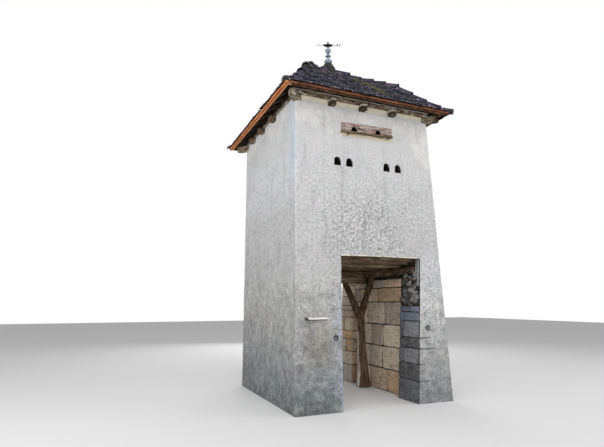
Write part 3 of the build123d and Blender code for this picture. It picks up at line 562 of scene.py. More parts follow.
mortar("hip_mortar", (0.02, 0.019, 0.02), (0.06, 0.056, 0.054), (0.17, 0.15, 0.145), (0.055, 0.06, 0.025))
mortar("cap_mortar", (0.02, 0.019, 0.019), (0.055, 0.05, 0.047), (0.16, 0.14, 0.125), (0.045, 0.048, 0.024))
# The old plaster's cold darker grey is painted shade: it is wall render wrapping into the shaded reveal
mortar("old_plaster", (0.17, 0.18, 0.2), (0.3, 0.32, 0.35), (0.42, 0.44, 0.47), (0.26, 0.27, 0.28))
metal("zinc", (0.3, 0.345, 0.43), (0.13, 0.155, 0.21), 0.55, 0.4)
metal("iron", (0.007, 0.009, 0.018), (0.018, 0.014, 0.014), 0.75, 0.0, 0.12)


def wobble(place, scale, seed):
    """Smooth noise from -1 to 1 at a place."""
    return noise.noise(Vector(place) * scale + Vector((seed, seed * 1.7, -seed)))


def added(name, data):
    """A new object in the scene."""
    made = bpy.data.objects.new(name, data)
    bpy.context.scene.collection.objects.link(made)
    return made


def finish_piece(name, mesh, look, replaced=(), smooth=40):
    """Makes a piece of a bmesh on the tower, with its look and the nodes it stands for."""
    data = bpy.data.meshes.new(name)
    mesh.normal_update()
    mesh.to_mesh(data)
    mesh.free()
    piece = added(name, data)
    data.materials.append(looks[look])
    data.shade_smooth()
    data.set_sharp_from_angle(angle=math.radians(smooth))
    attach(piece, "tower")
    if replaced:
        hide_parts(*replaced)


def bisected(mesh, point, normal, dist, geom=None, **options):
    """Cuts a mesh, or some of its parts, along a plane."""
    if geom is None:
        geom = mesh.verts[:] + mesh.edges[:] + mesh.faces[:]
    return bmesh.ops.bisect_plane(mesh, geom=geom, plane_co=point, plane_no=normal, dist=dist, **options)


def sliced(mesh, cell):
    """Cuts a mesh along grid planes, so that its faces are no longer than a cell."""
    for axis in range(3):
        places = [v.co[axis] for v in mesh.verts]
        low, high = min(places), max(places)
        count = int((high - low) / cell[axis])
        for number in range(1, count + 1):
            point, normal = Vector(), Vector()
            point[axis] = low + (high - low) * number / (count + 1)
            normal[axis] = 1
            bisected(mesh, point, normal, 1e-5)


def node_mesh(node):
    """A clean editable copy of a CAD node's mesh."""
    mesh = bmesh.new()
    mesh.from_mesh(nodes[node].data)
    bmesh.ops.remove_doubles(mesh, verts=mesh.verts, dist=1e-5)
    bmesh.ops.dissolve_limit(mesh, angle_limit=math.radians(2), verts=mesh.verts, edges=mesh.edges)
    return mesh


def hewn(node, name, look, slot, cell, edge, depth, scale=6.0):
    """A timber or stone with worn edges and an uneven surface."""
    mesh = node_mesh(node)
    sharp = [e for e in mesh.edges if e.is_manifold and e.calc_face_angle(0) > math.radians(25)]
    bmesh.ops.bevel(mesh, geom=sharp, offset=edge, segments=2, profile=0.6, affect="EDGES",
                    clamp_overlap=True)
    sliced(mesh, cell)
    mesh.normal_update()
    for vert in mesh.verts:
        swell = wobble(vert.co, scale, 3) * depth + wobble(vert.co, scale * 4, 8) * depth * 0.5
        vert.co += vert.normal * (swell - depth * 0.6)
    finish_piece(name, mesh, look, (node,))


def gaps_between(node):
    """The open stretches between the loose solids of a wall course, as (left, right)."""
    mesh = node_mesh(node)
    spans = []
    left = set(mesh.verts)
    while left:
        todo = [left.pop()]
        found = []
        while todo:
            vert = todo.pop()
            found.append(vert.co.x)
            others = [edge.other_vert(vert) for edge in vert.link_edges]
            todo += [other for other in others if other in left]
            left.difference_update(others)
        spans.append((min(found), max(found)))
    mesh.free()
    spans.sort()
    return [(a[1], b[0]) for a, b in zip(spans[:-1], spans[1:])]


def arch_outline(left, right, low, spring, steps=10):
    """Points round a round-headed opening, in the plane of a wall."""
    radius, middle = (right - left) / 2, (left + right) / 2
    outline = [(left, low), (right, low)]
    for number in range(steps + 1):
        angle = math.pi * number / steps
        outline.append((middle + radius * math.cos(angle), spring + radius * math.sin(angle)))
    return outline


def front_holes():
    """Outlines of everything cut through the front wall, in (x, z). The gateway comes last."""
    holes = []
    low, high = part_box("front_wall_hole_course")
    for left, right in gaps_between("front_wall_hole_course"):
        holes.append(arch_outline(left, right, low.z, high.z))
    low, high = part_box("front_wall_flight_course")
    for left, right in gaps_between("front_wall_flight_course"):
        holes.append([(left, low.z), (right, low.z), (right, high.z), (left, high.z)])
    foot, edge = -0.1, gate_top + coat_edge_rise
    holes.append([(gate_left, foot), (jamb_face(foot), foot), (jamb_face(edge), edge),
                  (gate_left, gate_top - coat_edge_drop)])
    return holes


def sides_of(outline):
    """Both ends of each side of an outline."""
    return zip(outline, outline[1:] + outline[:1])


def inside(outline, x, z):
    """Whether a point lies in a convex outline."""
    return all((x1 - x0) * (z - z0) - (z1 - z0) * (x - x0) >= -1e-6
               for (x0, z0), (x1, z1) in sides_of(outline))


def cut_outline(mesh, outline, margin=0.12):
    """Cuts a convex outline out of a sheet of (x, z) points that lies flat at y 0."""
    xs, zs = zip(*outline)
    for (x0, z0), (x1, z1) in sides_of(outline):
        near = [f for f in mesh.faces
                if min(xs) - margin < f.calc_center_median().x < max(xs) + margin
                and min(zs) - margin < f.calc_center_median().z < max(zs) + margin]
        geometry = list({v for f in near for v in f.verts}) + list({e for f in near for e in f.edges}) + near
        bisected(mesh, (x0, 0, z0), Vector((z1 - z0, 0, x0 - x1)).normalized(), 1e-4, geometry)
    gone = [f for f in mesh.faces if inside(outline, f.calc_center_median().x, f.calc_center_median().z)]
    bmesh.ops.delete(mesh, geom=gone, context="FACES")


def distance_to(outline, x, z):
    """How far a point lies from an outline."""
    best = 10.0
    for (x0, z0), (x1, z1) in sides_of(outline):
        along_x, along_z = x1 - x0, z1 - z0
        length = along_x * along_x + along_z * along_z
        share = max(0.0, min(1.0, ((x - x0) * along_x + (z - z0) * along_z) / length))
        best = min(best, math.hypot(x - x0 - share * along_x, z - z0 - share * along_z))
    return best


def coat_at(place):
    """Thickness of the render at a place: long waves, trowel marks and small lumps."""
    swell = wobble(place, 0.9, 1) * 0.004 + wobble(place, 3.5, 2) * 0.003
    swell += wobble(place, 12, 3) * 0.0045 + wobble(place, 25, 4) * 0.004
    return min(coat + swell, coat_most)


def spaced(low, high, cell):
    """Evenly spaced places from low to high."""
    count = max(1, round((high - low) / cell))
    return [low + (high - low) * number / count for number in range(count + 1)]


def skin(mesh, rows):
    """Faces between rows of vertices."""
    for low, high in zip(rows[:-1], rows[1:]):
        for corners in zip(low[:-1], low[1:], high[1:], high[:-1]):
            mesh.faces.new(corners)


def wall_skin(name, length, cell, holes, place_at, joints=()):
    """A coat of render over one side of the tower.

    The sheet is laid out flat with its corners folded out, holes are cut through it, and then place_at
    bends it round the corners and puts it on the wall. joints are sunk lines, as (height, from, to).
    """
    fold = corner_round * math.pi / 4
    under = fold + 0.006
    ends = (under, fold, fold / 2)
    columns = [-u for u in ends] + spaced(0, length, cell) + [length + u for u in reversed(ends)]
    levels = [level + side * joint_half for level, low, high in joints for side in (-1, 0, 1)]
    rows = sorted(spaced(0, wall_top, front_cell) + levels)
    mesh = bmesh.new()
    skin(mesh, [[mesh.verts.new((u, 0, z)) for u in columns] for z in rows])
    for outline in holes:
        cut_outline(mesh, outline)
    bmesh.ops.delete(mesh, geom=[v for v in mesh.verts if not v.link_faces], context="VERTS")
    depths = {}
    for vert in mesh.verts:
        near = min((distance_to(outline, vert.co.x, vert.co.z) for outline in holes), default=10.0)
        depths[vert] = -max(0.0, 1 - near / hole_round) ** 2 * hole_sunk
        if vert.co.x < -fold - 0.001 or vert.co.x > length + fold + 0.001:
            depths[vert] -= edge_sunk
        for level, low, high in joints:
            if abs(vert.co.z - level) < 1e-5 and low < vert.co.x < high:
                depths[vert] -= joint_depth
    rim = [e for e in mesh.edges if e.is_boundary]
    flat = {v: (v.co.x, v.co.z) for v in mesh.verts}
    bmesh.ops.extrude_edge_only(mesh, edges=rim)
    for vert in mesh.verts:
        if vert in flat:
            surface = place_at(*flat[vert], 0.0)
            vert.co = place_at(*flat[vert], coat_at(surface) + depths[vert])
        else:
            vert.co = place_at(vert.co.x, vert.co.z, -coat_back)
    bmesh.ops.recalc_face_normals(mesh, faces=mesh.faces)
    finish_piece(name, mesh, "lime_render", smooth=60)


def side_placer(sheet_length, corner, along, out, lean_start=0.0, lean_end=0.0):
    """Puts a point of a flat sheet on one side of the tower, round its folded ends.

    corner is the side's left end on the ground, along its direction and out its outward direction.
    The lean values move that end outwards with height.
    """
    corner, along, out = Vector(corner), Vector(along), Vector(out)

    def place(u, z, proud):
        length = sheet_length + lean_end * z - lean_start * z
        share = u / sheet_length
        if 0 <= u <= sheet_length:
            base = corner + along * (lean_start * z + corner_round + share * (length - 2 * corner_round))
            return base + out * proud + Vector((0, 0, z))
        at_end = u > sheet_length
        angle = (u - sheet_length if at_end else -u) / corner_round
        centre_distance = length - corner_round if at_end else corner_round
        centre = corner + along * (lean_start * z + centre_distance) - out * corner_round
        direction = out * math.cos(angle) + along * (math.sin(angle) if at_end else -math.sin(angle))
        return centre + direction * (corner_round + proud) + Vector((0, 0, z))

    return place


def tower_coats():
    """Render on the four sides. The holes are given in each side's own flat layout."""
    lean = (head_right - foot_right) / wall_top
    width, depth = foot_right - tower_left, tower_back - tower_front
    front = side_placer(width, (tower_left, tower_front, 0), (1, 0, 0), (0, -1, 0), 0, lean)
    back = side_placer(width, (foot_right, tower_back, 0), (-1, 0, 0), (0, 1, 0), -lean, 0)
    left = side_placer(depth, (tower_left, tower_back, 0), (0, -1, 0), (-1, 0, 0))
    right = side_placer(depth, (0, tower_front, 0), (0, 1, 0), (1, 0, 0))

    def on_right(u, z, proud):
        placed = right(u, z, proud)
        placed.x += right_face(z)
        return placed

    def along_sheet(x, z):
        """How far along the flat front sheet a point of the front wall lies."""
        width_at = right_face(max(z, 0)) - tower_left
        return (x - tower_left - corner_round) / (width_at - 2 * corner_round) * width

    holes = [[(along_sheet(x, z), z) for x, z in outline] for outline in front_holes()]
    gateway_from_behind = [(width - u, z) for u, z in reversed(holes[-1])]
    joints = [(level, along_sheet(jamb_face(level), level), along_sheet(end, level))
              for level, end, share in quoin_joints]
    wall_skin("render_front", width, front_cell, holes, front, joints)
    wall_skin("render_back", width, side_cell, [gateway_from_behind], back)
    wall_skin("render_left", depth, side_cell, [], left)
    wall_skin("render_right", depth, side_cell, [], on_right)


def rough_block(mesh, low, high, wear, seed, cuts=4):
    """Adds one rough stone between two corners, with rounded edges."""
    low, high = Vector(low), Vector(high)
    centre, half = (low + high) / 2, (high - low) / 2
    round_by = min(wear, min(half) * 0.8)
    verts = {}

    def corner(spot):
        if spot in verts:
            return verts[spot]
        spread = [math.copysign(abs(2 * c / cuts - 1) ** 0.6, 2 * c / cuts - 1) for c in spot]
        flat = Vector([s * h for s, h in zip(spread, half)])
        core = Vector([max(-(h - round_by), min(h - round_by, f)) for f, h in zip(flat, half)])
        out = flat - core
        if out.length > 1e-6:
            flat = core + out.normalized() * round_by
        place = centre + flat
        bumps = wobble(place, 7, seed) * wear * 0.5 + wobble(place, 24, seed + 4) * wear * 0.22
        verts[spot] = mesh.verts.new(place + flat.normalized() * bumps)
        return verts[spot]

    for axis in range(3):
        for end in (0, cuts):
            for i in range(cuts):
                for j in range(cuts):
                    face = []
                    for di, dj in ((0, 0), (1, 0), (1, 1), (0, 1)):
                        spot = [0, 0, 0]
                        spot[axis], spot[(axis + 1) % 3], spot[(axis + 2) % 3] = end, i + di, j + dj
                        face.append(corner(tuple(spot)))
                    mesh.faces.new(face if end else face[::-1])


def stone_courses(mesh, rng, start, end, rows, face, side, joint=0.012, sizes=(0.3, 0.62), wear=0.012,
                  depth=0.05):
    """Courses of blocks along y on one wall of the passage, whose room lies towards side."""
    for low, high in zip(rows[:-1], rows[1:]):
        y = start
        while y < end - 0.02:
            length = min(rng.uniform(*sizes), end - y)
            if end - y - length < sizes[0] * 0.5:
                length = end - y
            proud = stone_proud + rng.uniform(-0.006, 0.008)
            x_low, x_high = sorted((face + side * proud, face - side * depth))
            rough_block(mesh, (x_low, y + joint * 0.8, low + joint / 2),
                        (x_high, y + length - joint * 0.8, high - joint / 2), wear, rng.uniform(0, 50))
            y += length


def masonry(name, mesh, look, leaning=False):
    """Finishes stones. Those that were laid against an upright jamb are leant with it first."""
    if leaning:
        for vert in mesh.verts:
            vert.co.x -= jamb_lean * (gate_top - vert.co.z)
    finish_piece(name, mesh, look, smooth=50)


def passage_stones():
    """Ashlar on both sides of the passage, and the thinner dark courses of the gateways' reveals."""
    rng = random.Random(11)
    ashlar, front, back, left = (bmesh.new() for _ in range(4))
    for face, side in ((gate_right, -1), (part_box("left_wall_lower")[1].x, 1)):
        stone_courses(ashlar, rng, pier_back + 0.01, -pier_back - 0.01, ashlar_rows, face, side,
                      0.02, (0.45, 0.95), 0.018)
    masonry("passage_stones", ashlar, "warm_stone")
    edge = tower_front + reveal_set_back
    stone_courses(front, rng, edge, pier_back + shoulder, reveal_rows, gate_right, -1, depth=0.2)
    stone_courses(back, rng, -pier_back - shoulder, -edge, back_rows, gate_right, -1, depth=0.2)
    for start, end in ((edge, pier_back), (-pier_back, -edge)):
        stone_courses(left, rng, start, end, reveal_rows, gate_left, 1)
    # The right and left reveals take reveal_stone, dark with painted shade
    masonry("reveal_stones_right", front, "reveal_stone", True)
    masonry("reveal_stones_back", back, "warm_stone", True)
    masonry("reveal_stones_left", left, "reveal_stone")


def passage_rubble():
    """Broken masonry under the lintel at the right reveal, where dressed stones are missing."""
    rng = random.Random(4)
    rubble, strip = bmesh.new(), bmesh.new()
    low = reveal_rows[-1]
    for number in range(rubble_count):
        rise = number / rubble_count
        length, height = rng.uniform(0.06, 0.2), rng.uniform(0.045, 0.11)
        y = rng.uniform(tower_front + 0.02, pier_back - length - 0.01)
        z = low + (rubble_top - low) * rise
        x = gate_right - 0.03 + (rng.uniform(-0.04, 0.03) + 0.035 * rise)
        bits = bmesh.new()
        rough_block(bits, (x, y, z), (gate_right + 0.09, y + length, z + height), 0.03, rng.uniform(0, 50))
        middle = Vector((gate_right, y + length / 2, z + height / 2))
        turn = Matrix.Rotation(rng.uniform(-0.4, 0.4), 3, "X")
        turn @= Matrix.Rotation(rng.uniform(-0.3, 0.3), 3, "Z")
        bmesh.ops.rotate(bits, verts=bits.verts, cent=middle, matrix=turn)
        for face in bits.faces:
            rubble.faces.new([rubble.verts.new(v.co) for v in face.verts])
        bits.free()
    bmesh.ops.remove_doubles(rubble, verts=rubble.verts, dist=1e-6)
    masonry("reveal_rubble", rubble, "rubble_stone", True)
    for seed, (start, end, foot) in enumerate(strip_spans, 5):
        rough_block(strip, (gate_right - 0.022, tower_front + start, foot),
                    (gate_right + 0.03, tower_front + end, gate_top - 0.004), 0.012, seed, cuts=8)
    masonry("reveal_strip", strip, "old_plaster", True)


class Slope:
    """One side of the roof, laid out as (along the eave, up the slope)."""

    def __init__(self, node, axis, turn, half_length):
        data = nodes[node].data
        upper = {index for face in data.polygons if face.normal.z > 0.2 for index in face.vertices}
        places = [data.vertices[index].co for index in upper]
        points = {(round(abs(co[axis]), 3), round(co.z, 3)) for co in places}
        edge = max(out for out, height in points)
        self.bends = sorted((edge - out, height) for out, height in points)
        self.run = self.bends[-1][0]
        self.half_length = half_length
        self.turn = Matrix.Rotation(math.radians(turn), 3, "Z")
        self.marks = [0.0]
        for (s0, z0), (s1, z1) in zip(self.bends[:-1], self.bends[1:]):
            self.marks.append(self.marks[-1] + math.hypot(s1 - s0, z1 - z0))
        self.length = self.marks[-1]

    def profile(self, up):
        """(distance in, height) at a length up the slope. Outside it runs straight on."""
        return self.between(self.marks, up)

    def height(self, share):
        """Height at a share of the run."""
        return self.between([distance for distance, height in self.bends], share * self.run)[1]

    def between(self, knots, at):
        """(distance in, height) at a place between knots, of which each bend has one."""
        last = len(knots) - 2
        number = next((n for n in range(last) if at <= knots[n + 1] + 1e-9), last)
        (s0, z0), (s1, z1) = self.bends[number:number + 2]
        share = (at - knots[number]) / (knots[number + 1] - knots[number])
        return s0 + (s1 - s0) * share, z0 + (z1 - z0) * share

    def point(self, along, up, lift):
        """A point on the slope, lifted square to it."""
        s, z = self.profile(up)
        s_up, z_up = self.profile(up + 0.06)
        s_down, z_down = self.profile(up - 0.06)
        rise = Vector((0, s_up - s_down, z_up - z_down)).normalized()
        return self.turn @ (Vector((along, s - self.run, z)) + Vector((0, -rise.z, rise.y)) * lift)

    def half_at(self, up):
        """Half the length of the slope between its hips."""
        return self.half_length * (1 - self.profile(up)[0] / self.run)


def add_tile(mesh, slope, along, up, width, length, lift, rng, thick=tile_thick, under=0.0):
    """One flat clay tile, a little dished, its lower end resting on the course below."""
    wide, high = 3, 2
    twist = rng.uniform(-0.02, 0.02)
    dish = rng.uniform(0.001, 0.004)
    layers = []
    for level in (thick, 0.0):
        rows = []
        for j in range(high + 1):
            t = j / high
            row = []
            for i in range(wide + 1):
                w = i / wide - 0.5
                ragged = rng.uniform(-0.0025, 0.0025) if j == 0 else 0.0
                corner = -0.003 if (level and j == 0 and abs(w) > 0.4) else 0.0
                rise = lift + level - under * t + dish * (1 - 4 * w * w) + corner
                place = slope.point(along + w * width + twist * t * length, up + t * length + ragged, rise)
                row.append(mesh.verts.new(place))
            rows.append(row)
        layers.append(rows)
    top, bottom = layers
    face = mesh.faces.new
    for j in range(high):
        for i in range(wide):
            face((top[j][i], top[j][i + 1], top[j + 1][i + 1], top[j + 1][i]))
            face((bottom[j + 1][i], bottom[j + 1][i + 1], bottom[j][i + 1], bottom[j][i]))
    for i in range(wide):
        face((bottom[0][i], bottom[0][i + 1], top[0][i + 1], top[0][i]))
        face((top[high][i], top[high][i + 1], bottom[high][i + 1], bottom[high][i]))
    for j in range(high):
        face((bottom[j + 1][0], bottom[j][0], top[j][0], top[j + 1][0]))
        face((bottom[j][wide], bottom[j + 1][wide], top[j + 1][wide], top[j][wide]))


def trim_at_hips(mesh, slope, past=0.012):
    """Cuts what lies past the two hips of a slope, and closes the cuts."""
    for side in (-1, 1):
        direction = Vector((side * slope.half_length, -slope.run, 0)).normalized()
        normal = Vector((-direction.y * side, direction.x * side, 0))
        if normal.x * side < 0:
            normal.negate()
        cut = bisected(mesh, slope.turn @ (normal * past), slope.turn @ normal, 1e-6, clear_outer=True)
        edges = [g for g in cut["geom_cut"] if isinstance(g, bmesh.types.BMEdge)]
        bmesh.ops.holes_fill(mesh, edges=edges, sides=0)


def tiled_slope(slope, name, node, seed):
    """All courses of flat tiles on one side of the roof, cut off at its hips."""
    rng = random.Random(seed)
    mesh = bmesh.new()
    for course in range(int((slope.length - 0.05) / tile_exposure)):
        up = course * tile_exposure
        half = slope.half_at(up + tile_exposure * 0.6)
        shift = (course % 2) * tile_width / 2 + rng.uniform(-0.02, 0.02)
        x = -half - tile_width + (shift % tile_width)
        while x < half + tile_width * 0.3:
            width = tile_width + rng.uniform(-0.012, 0.006)
            centre = x + width / 2
            if abs(centre) < half + tile_width * 0.2:
                slip = rng.choice((0, 0, 1)) * rng.uniform(-0.026, 0.012) if course else 0.0
                lift = -0.004 + rng.uniform(0, 0.007) + rng.choice((0, 0, 0, 1)) * rng.uniform(0, 0.014)
                add_tile(mesh, slope, centre, up + slip + rng.uniform(-0.006, 0.006), width,
                         tile_exposure * tile_cover, lift, rng, under=tile_thick * tile_cover)
            x += width + tile_gap
    trim_at_hips(mesh, slope)
    finish_piece(name, mesh, "dark_tile", (node,), smooth=35)


def roof_deck(node, name):
    """The boards that carry the tiles, seen from under the eaves."""
    mesh = bmesh.new()
    mesh.from_mesh(nodes[node].data)
    bmesh.ops.remove_doubles(mesh, verts=mesh.verts, dist=1e-5)
    mesh.normal_update()
    for vert in {v for f in mesh.faces if f.normal.z > 0.2 for v in f.verts}:
        vert.co.z -= boards_under_tiles
    finish_piece(name, mesh, "soffit", (node,))


def eave_tiles(slopes):
    """The doubled course under the first row, whose fresh undersides and edges stay orange, brightened by
    painted light on the left.
    """
    rng = random.Random(31)
    mesh = bmesh.new()
    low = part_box("eave_tiles")[0].z
    for slope in slopes:
        drop = slope.profile(0)[1] - low
        side = bmesh.new()
        for layer in range(2):
            x = -slope.half_length + layer * tile_width / 2 - tile_width / 2
            while x < slope.half_length + tile_width / 2:
                width = tile_width + rng.uniform(-0.005, 0.003)
                out = rng.uniform(-0.006, 0.008)
                lift = 0.004 - drop + layer * eave_tile_layer + rng.uniform(0, 0.003)
                add_tile(side, slope, x + width / 2, out, width, eave_tile_length, lift, rng, eave_tile_thick)
                x += width + tile_gap
        bmesh.ops.recalc_face_normals(side, faces=side.faces)
        trim_at_hips(side, slope, 0.003)
        kept = bpy.data.meshes.new("side")
        side.to_mesh(kept)
        side.free()
        mesh.from_mesh(kept)
        bpy.data.meshes.remove(kept)
    finish_piece("eave_tile_course", mesh, "orange_tile", ("eave_tiles",), smooth=35)


def hip_rows(front, left):
    """Half-round tiles bedded in mortar over the four hips, worked out on the front left one and mirrored."""
    rng = random.Random(8)
    tiles, bedding = bmesh.new(), bmesh.new()
    shares = [number / hip_tile_count * hip_end for number in range(hip_tile_count + 1)]
    places = [Vector((-left.run * (1 - s), -front.run * (1 - s), front.height(s))) for s in shares]
    for flip in ((1, 1, 1), (-1, 1, 1), (1, -1, 1), (-1, -1, 1)):
        for number, (low, high) in enumerate(zip(places[:-1], places[1:])):
            first, heap = number == 0, 0.0
            if flip == (1, 1, 1):
                heap = heap_height * math.exp(-((shares[number] - heap_middle) / heap_spread) ** 2)
            lift = heap + rng.uniform(-0.006, 0.012)
            low_lift = lift + (-hip_first_drop if first else hip_tile_tilt)
            add_half_tile(tiles, low, high, low_lift, lift, flip, rng, 0.8 if first else 1.0)
            add_bedding(bedding, low, high, lift, heap, flip, rng, 0.0 if first else 0.02)
    for mesh in (tiles, bedding):
        bmesh.ops.recalc_face_normals(mesh, faces=mesh.faces)
    finish_piece("hip_tile_rows", tiles, "hip_tile", ("hip_tiles",), smooth=45)
    finish_piece("hip_bedding", bedding, "hip_mortar", smooth=60)


def hip_axes(low, high):
    """Along the hip, across it and away from the roof."""
    along = (high - low).normalized()
    across = along.cross(Vector((0, 0, 1))).normalized()
    return along, across, across.cross(along).normalized()


def mirrored(mesh, spot, flip):
    """A new vertex at a spot, mirrored to one of the hips."""
    return mesh.verts.new(Vector(a * b for a, b in zip(spot, flip)))


def add_half_tile(mesh, low, high, low_lift, high_lift, flip, rng, narrow):
    """A tapered half-round tile with a thick open lower end."""
    along, across, crown = hip_axes(low, high)
    length = (high - low).length + hip_overlap
    wide_low = (hip_low_radius - hip_thick + rng.uniform(-0.003, 0.005)) * narrow
    wide_high = hip_high_radius - hip_thick
    steps, rows = 12, 5
    skew = rng.uniform(-0.014, 0.014)
    shells = []
    for thick in (hip_thick, 0.0):
        shell = []
        for j in range(rows + 1):
            t = j / rows
            radius = wide_low + (wide_high - wide_low) * t + thick + (0.006 if j == 0 and thick else 0.0)
            centre = low + along * (t * length - 0.02) + across * skew * t
            centre += crown * (low_lift + (high_lift - low_lift) * t - hip_sink)
            ring = []
            for i in range(steps + 1):
                angle = math.pi * (i / steps * 1.06 - 0.03)
                size = radius * (1 + 0.035 * wobble((i * 0.7, j * 1.3, low.z * 9), 1.0, thick * 90))
                spot = centre + across * (math.cos(angle) * size) + crown * (math.sin(angle) * size)
                ring.append(mirrored(mesh, spot, flip))
            shell.append(ring)
        shells.append(shell)
    outer, inner = shells
    face = mesh.faces.new
    for j in range(rows):
        for i in range(steps):
            face((outer[j][i], outer[j][i + 1], outer[j + 1][i + 1], outer[j + 1][i]))
            face((inner[j + 1][i], inner[j + 1][i + 1], inner[j][i + 1], inner[j][i]))
        for i in (0, steps):
            face((outer[j][i], outer[j + 1][i], inner[j + 1][i], inner[j][i]))
    for j in (0, rows):
        for i in range(steps):
            face((outer[j][i], inner[j][i], inner[j][i + 1], outer[j][i + 1]))


def add_bedding(mesh, low, high, lift, heap, flip, rng, skirt):
    """Lumpy mortar that fills each tile, and spills over its sides where the row is heaped up."""
    along, across, crown = hip_axes(low, high)
    length = (high - low).length
    steps, rows = 16, 12
    grid = []
    seed = rng.uniform(0, 90)
    for j in range(rows + 1):
        t = j / rows
        centre = low + along * t * length + crown * (lift - hip_sink - 0.012)
        radius = (hip_low_radius - 0.014) + (hip_high_radius - hip_low_radius) * t
        ring = []
        for i in range(steps + 1):
            angle = math.pi * (i / steps * 1.4 - 0.2) if skirt else math.pi * i / steps
            spread = 1.0 + (0.12 + heap * 4) * math.cos(angle) ** 2
            spot = centre + across * (math.cos(angle) * radius * spread)
            spot += crown * (math.sin(angle) * radius * 0.94)
            if math.sin(angle) < 0.2:
                spot -= crown * (skirt + heap * 0.9)
            lumps = wobble(spot, 14, seed) * 0.014 + wobble(spot, 38, seed) * 0.007
            spot += (spot - centre).normalized() * lumps
            ring.append(mirrored(mesh, spot, flip))
        grid.append(ring)
    skin(mesh, grid)
    for ring in (grid[0], grid[-1]):
        mesh.faces.new(ring)
    for low_ring, high_ring in zip(grid[:-1], grid[1:]):
        mesh.faces.new((low_ring[0], high_ring[0], high_ring[-1], low_ring[-1]))


def remeshed(node, voxel, smooth_steps):
    """An even mesh over a whole node, softened where its solids meet."""
    piece = added("scratch", nodes[node].data.copy())
    even = piece.modifiers.new("even", "REMESH")
    even.mode = "VOXEL"
    even.voxel_size = voxel
    made = bpy.data.meshes.new_from_object(piece.evaluated_get(bpy.context.evaluated_depsgraph_get()))
    mesh = bmesh.new()
    mesh.from_mesh(made)
    old = piece.data
    bpy.data.objects.remove(piece)
    bpy.data.meshes.remove(old)
    bpy.data.meshes.remove(made)
    for _ in range(smooth_steps):
        bmesh.ops.smooth_vert(mesh, verts=mesh.verts, factor=0.5, use_axis_x=True, use_axis_y=True,
                              use_axis_z=True)
    mesh.normal_update()
    return mesh


def forked_post():
    """The natural trunk: fluted, knotty and split."""
    low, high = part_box("forked_post")
    mesh = remeshed("forked_post", trunk_voxel, 2)
    for vert in mesh.verts:
        x, y, z = vert.co
        flutes = wobble((x * 9, y * 9, z * 1.1), 1.6, 2) * 0.011
        knots = max(0.0, wobble((x, y, z), 4.2, 5) - 0.25) * 0.035
        fine = wobble((x * 3, y * 3, z * 0.4), 14, 7) * 0.004
        vert.co += vert.normal * (flutes + knots + fine - 0.004)
        vert.co.z = min(max(vert.co.z, low.z), high.z)
    finish_piece("forked_trunk", mesh, "trunk", ("forked_post",), smooth=60)


def mortar_cap():
    """Lumpy mortar that closes the roof's point under the finial."""
    mesh = remeshed("apex_cap", cap_voxel, 1)
    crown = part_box("apex_cap")[1].z
    for vert in mesh.verts:
        free = max(0.0, min(1.0, (crown - vert.co.z) / 0.08))
        lumps = wobble(vert.co, 11, 3) * 0.018 + wobble(vert.co, 32, 6) * 0.009
        vert.co += vert.normal * lumps * free
    finish_piece("mortar_cap", mesh, "cap_mortar", ("apex_cap",), smooth=60)


def studio():
    """Pale floor, soft light and the photograph's camera."""
    camera = bpy.data.cameras.new("camera")
    camera.lens = camera_lens
    camera.sensor_width = 36
    camera.clip_end = 100
    eye = added("camera", camera)
    eye.location = camera_place
    eye.rotation_euler = (math.radians(90 + camera_pitch), 0, math.radians(-camera_turn))
    bpy.context.scene.camera = eye
    data = bpy.data.meshes.new("floor")
    corners = [(x * floor_half, y * floor_half, 0) for x, y in ((-1, -1), (1, -1), (1, 1), (-1, 1))]
    data.from_pydata(corners, [], [(0, 1, 2, 3)])
    floor = added("floor", data)
    floor_look = Shader("floor", 0.9, 0.1)
    floor_look.colour = (0.8, 0.8, 0.8)
    floor_look.paint()
    data.materials.append(looks["floor"])
    for name, place, watts, width in lamps:
        light = bpy.data.lights.new(name, "AREA")
        light.energy = watts
        light.size = width
        lamp = added(name, light)
        lamp.location = place
        lamp.rotation_euler = (Vector(lamps_aim) - Vector(place)).to_track_quat("-Z", "Y").to_euler()
    world = bpy.data.worlds.new("studio")
    bpy.context.scene.world = world
    world.use_nodes = True
    tree = world.node_tree
    background = tree.nodes["Background"]
    rays = tree.nodes.new("ShaderNodeLightPath").outputs
    seen = rays["Is Camera Ray"]
    for kind in ("Is Glossy Ray", "Is Transmission Ray"):
        either = tree.nodes.new("ShaderNodeMath")
        either.operation = "MAXIMUM"
        tree.links.new(seen, either.inputs[0])
        tree.links.new(rays[kind], either.inputs[1])
        seen = either.outputs[0]
    strength = tree.nodes.new("ShaderNodeMapRange")
    strength.inputs["To Min"].default_value = soft_sky
    tree.links.new(seen, strength.inputs["Value"])
    tree.links.new(strength.outputs["Result"], background.inputs["Strength"])
    background.inputs["Color"].default_value = (1, 1, 1, 1)
    bpy.context.scene.view_settings.view_transform = "Standard"


studio()
tower_coats()
passage_stones()
passage_rubble()
forked_post()
mortar_cap()

roof = {side: Slope(f"roof_{side}", axis, turn, half) for side, axis, turn, half in (
    ("front", 1, 0, -eave_left), ("left", 0, -90, -eave_front),
    ("back", 1, 180, -eave_left), ("right", 0, 90, -eave_front))}
for slope_seed, (side_name, one_slope) in enumerate(roof.items(), 1):
    tiled_slope(one_slope, f"tiles_{side_name}", f"roof_{side_name}", slope_seed)
    roof_deck(f"roof_{side_name}", f"roof_boards_{side_name}")
eave_tiles(roof.values())
hip_rows(roof["front"], roof["left"])

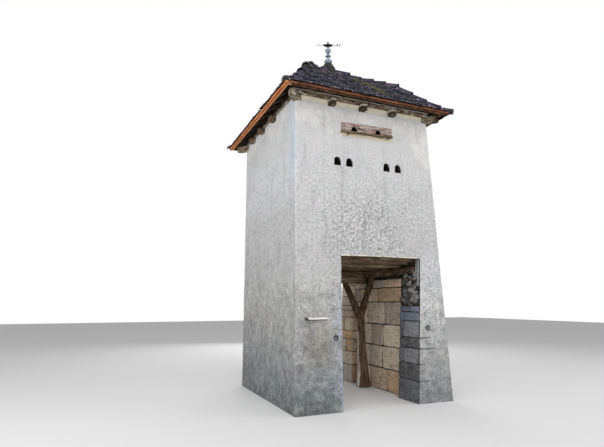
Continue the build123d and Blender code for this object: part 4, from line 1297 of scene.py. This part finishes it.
# Timbers and stones, as node, piece, look, slot, longest face, rounding and unevenness
hewn_pieces = (
    ("gate_lintels", "lintel_baulks", "old_oak", "old_oak", (0.15, 0.08, 0.06), 0.008, 0.004),
    ("cross_beam", "cross_beam_hewn", "old_oak", "old_oak", (0.09, 0.09, 0.05), 0.02, 0.008),
    ("floor_beam", "floor_beam_hewn", "old_oak_deep", "old_oak", (0.09, 0.09, 0.05), 0.02, 0.008),
    ("floor_joists", "joists_hewn", "old_oak", "old_oak", (0.15, 0.06, 0.06), 0.012, 0.007),
    ("floor_boards", "boards_sawn", "old_oak_deep", "old_oak", (0.09, 0.3, 0.05), 0.003, 0.002),
    ("pigeon_plank", "plank_weathered", "plank", "weathered_plank", (0.03, 0.05, 0.03), 0.004, 0.003),
    ("landing_ledge", "ledge_weathered", "ledge", "weathered_plank", (0.03, 0.03, 0.03), 0.006, 0.006),
    ("ledge_brackets", "brackets_weathered", "ledge", "weathered_plank", (0.03, 0.03, 0.03), 0.004, 0.003),
    ("eave_beams", "eave_beams_hewn", "beam_end", "grey_timber", (0.05, 0.12, 0.05), 0.016, 0.009),
    ("side_beams", "side_beams_hewn", "side_beam_end", "grey_timber", (0.08, 0.05, 0.05), 0.016, 0.009),
    ("corner_beams", "corner_beams_hewn", "corner_timber", "grey_timber", (0.06, 0.06, 0.05), 0.012, 0.01),
    ("wall_plates", "wall_plates_hewn", "plate", "grey_timber", (0.09, 0.09, 0.05), 0.01, 0.006),
    ("eave_sprockets", "sprockets_hewn", "sprocket", "grey_timber", (0.08, 0.08, 0.08), 0.006, 0.004),
    ("eave_boards", "eave_boards_sawn", "eave_board", "grey_timber", (0.08, 0.08, 0.05), 0.003, 0.003),
    ("beam_fill", "masonry_between_beams", "lime_render", "lime_render", (0.06, 0.06, 0.05), 0.01, 0.008))
for *names, longest, rounding, uneven in hewn_pieces:
    hewn(*names, longest, rounding, uneven)
hewn("wall_slab", "slab_broken", "slab_stone", "slab_stone", (0.03, 0.03, 0.02), 0.008, 0.008, 12)

# Finishes of the nodes that stay as they are
finishes = {
    "lime_render": ("front_pier_left", "back_pier_left", "left_wall_lower", "lintel_coats"),
    # The wall cores take this look as painted shade where they show inside the walls
    "joint_and_painted_shade": ("front_pier_right", "front_wall_over_gate", "front_wall_hole_course", "front_wall_middle",
                   "front_wall_flight_course", "front_wall_head", "back_pier_right", "back_wall",
                   "left_wall_upper", "right_wall_lower", "right_wall_upper"),
    "zinc": ("finial",),
    "iron": ("vane_spindle", "weathervane", "ring_eyes", "ring_left", "ring_right")}
for finish, dressed in finishes.items():
    for node_name in dressed:
        nodes[node_name].data.materials.clear()
        nodes[node_name].data.materials.append(looks[finish])
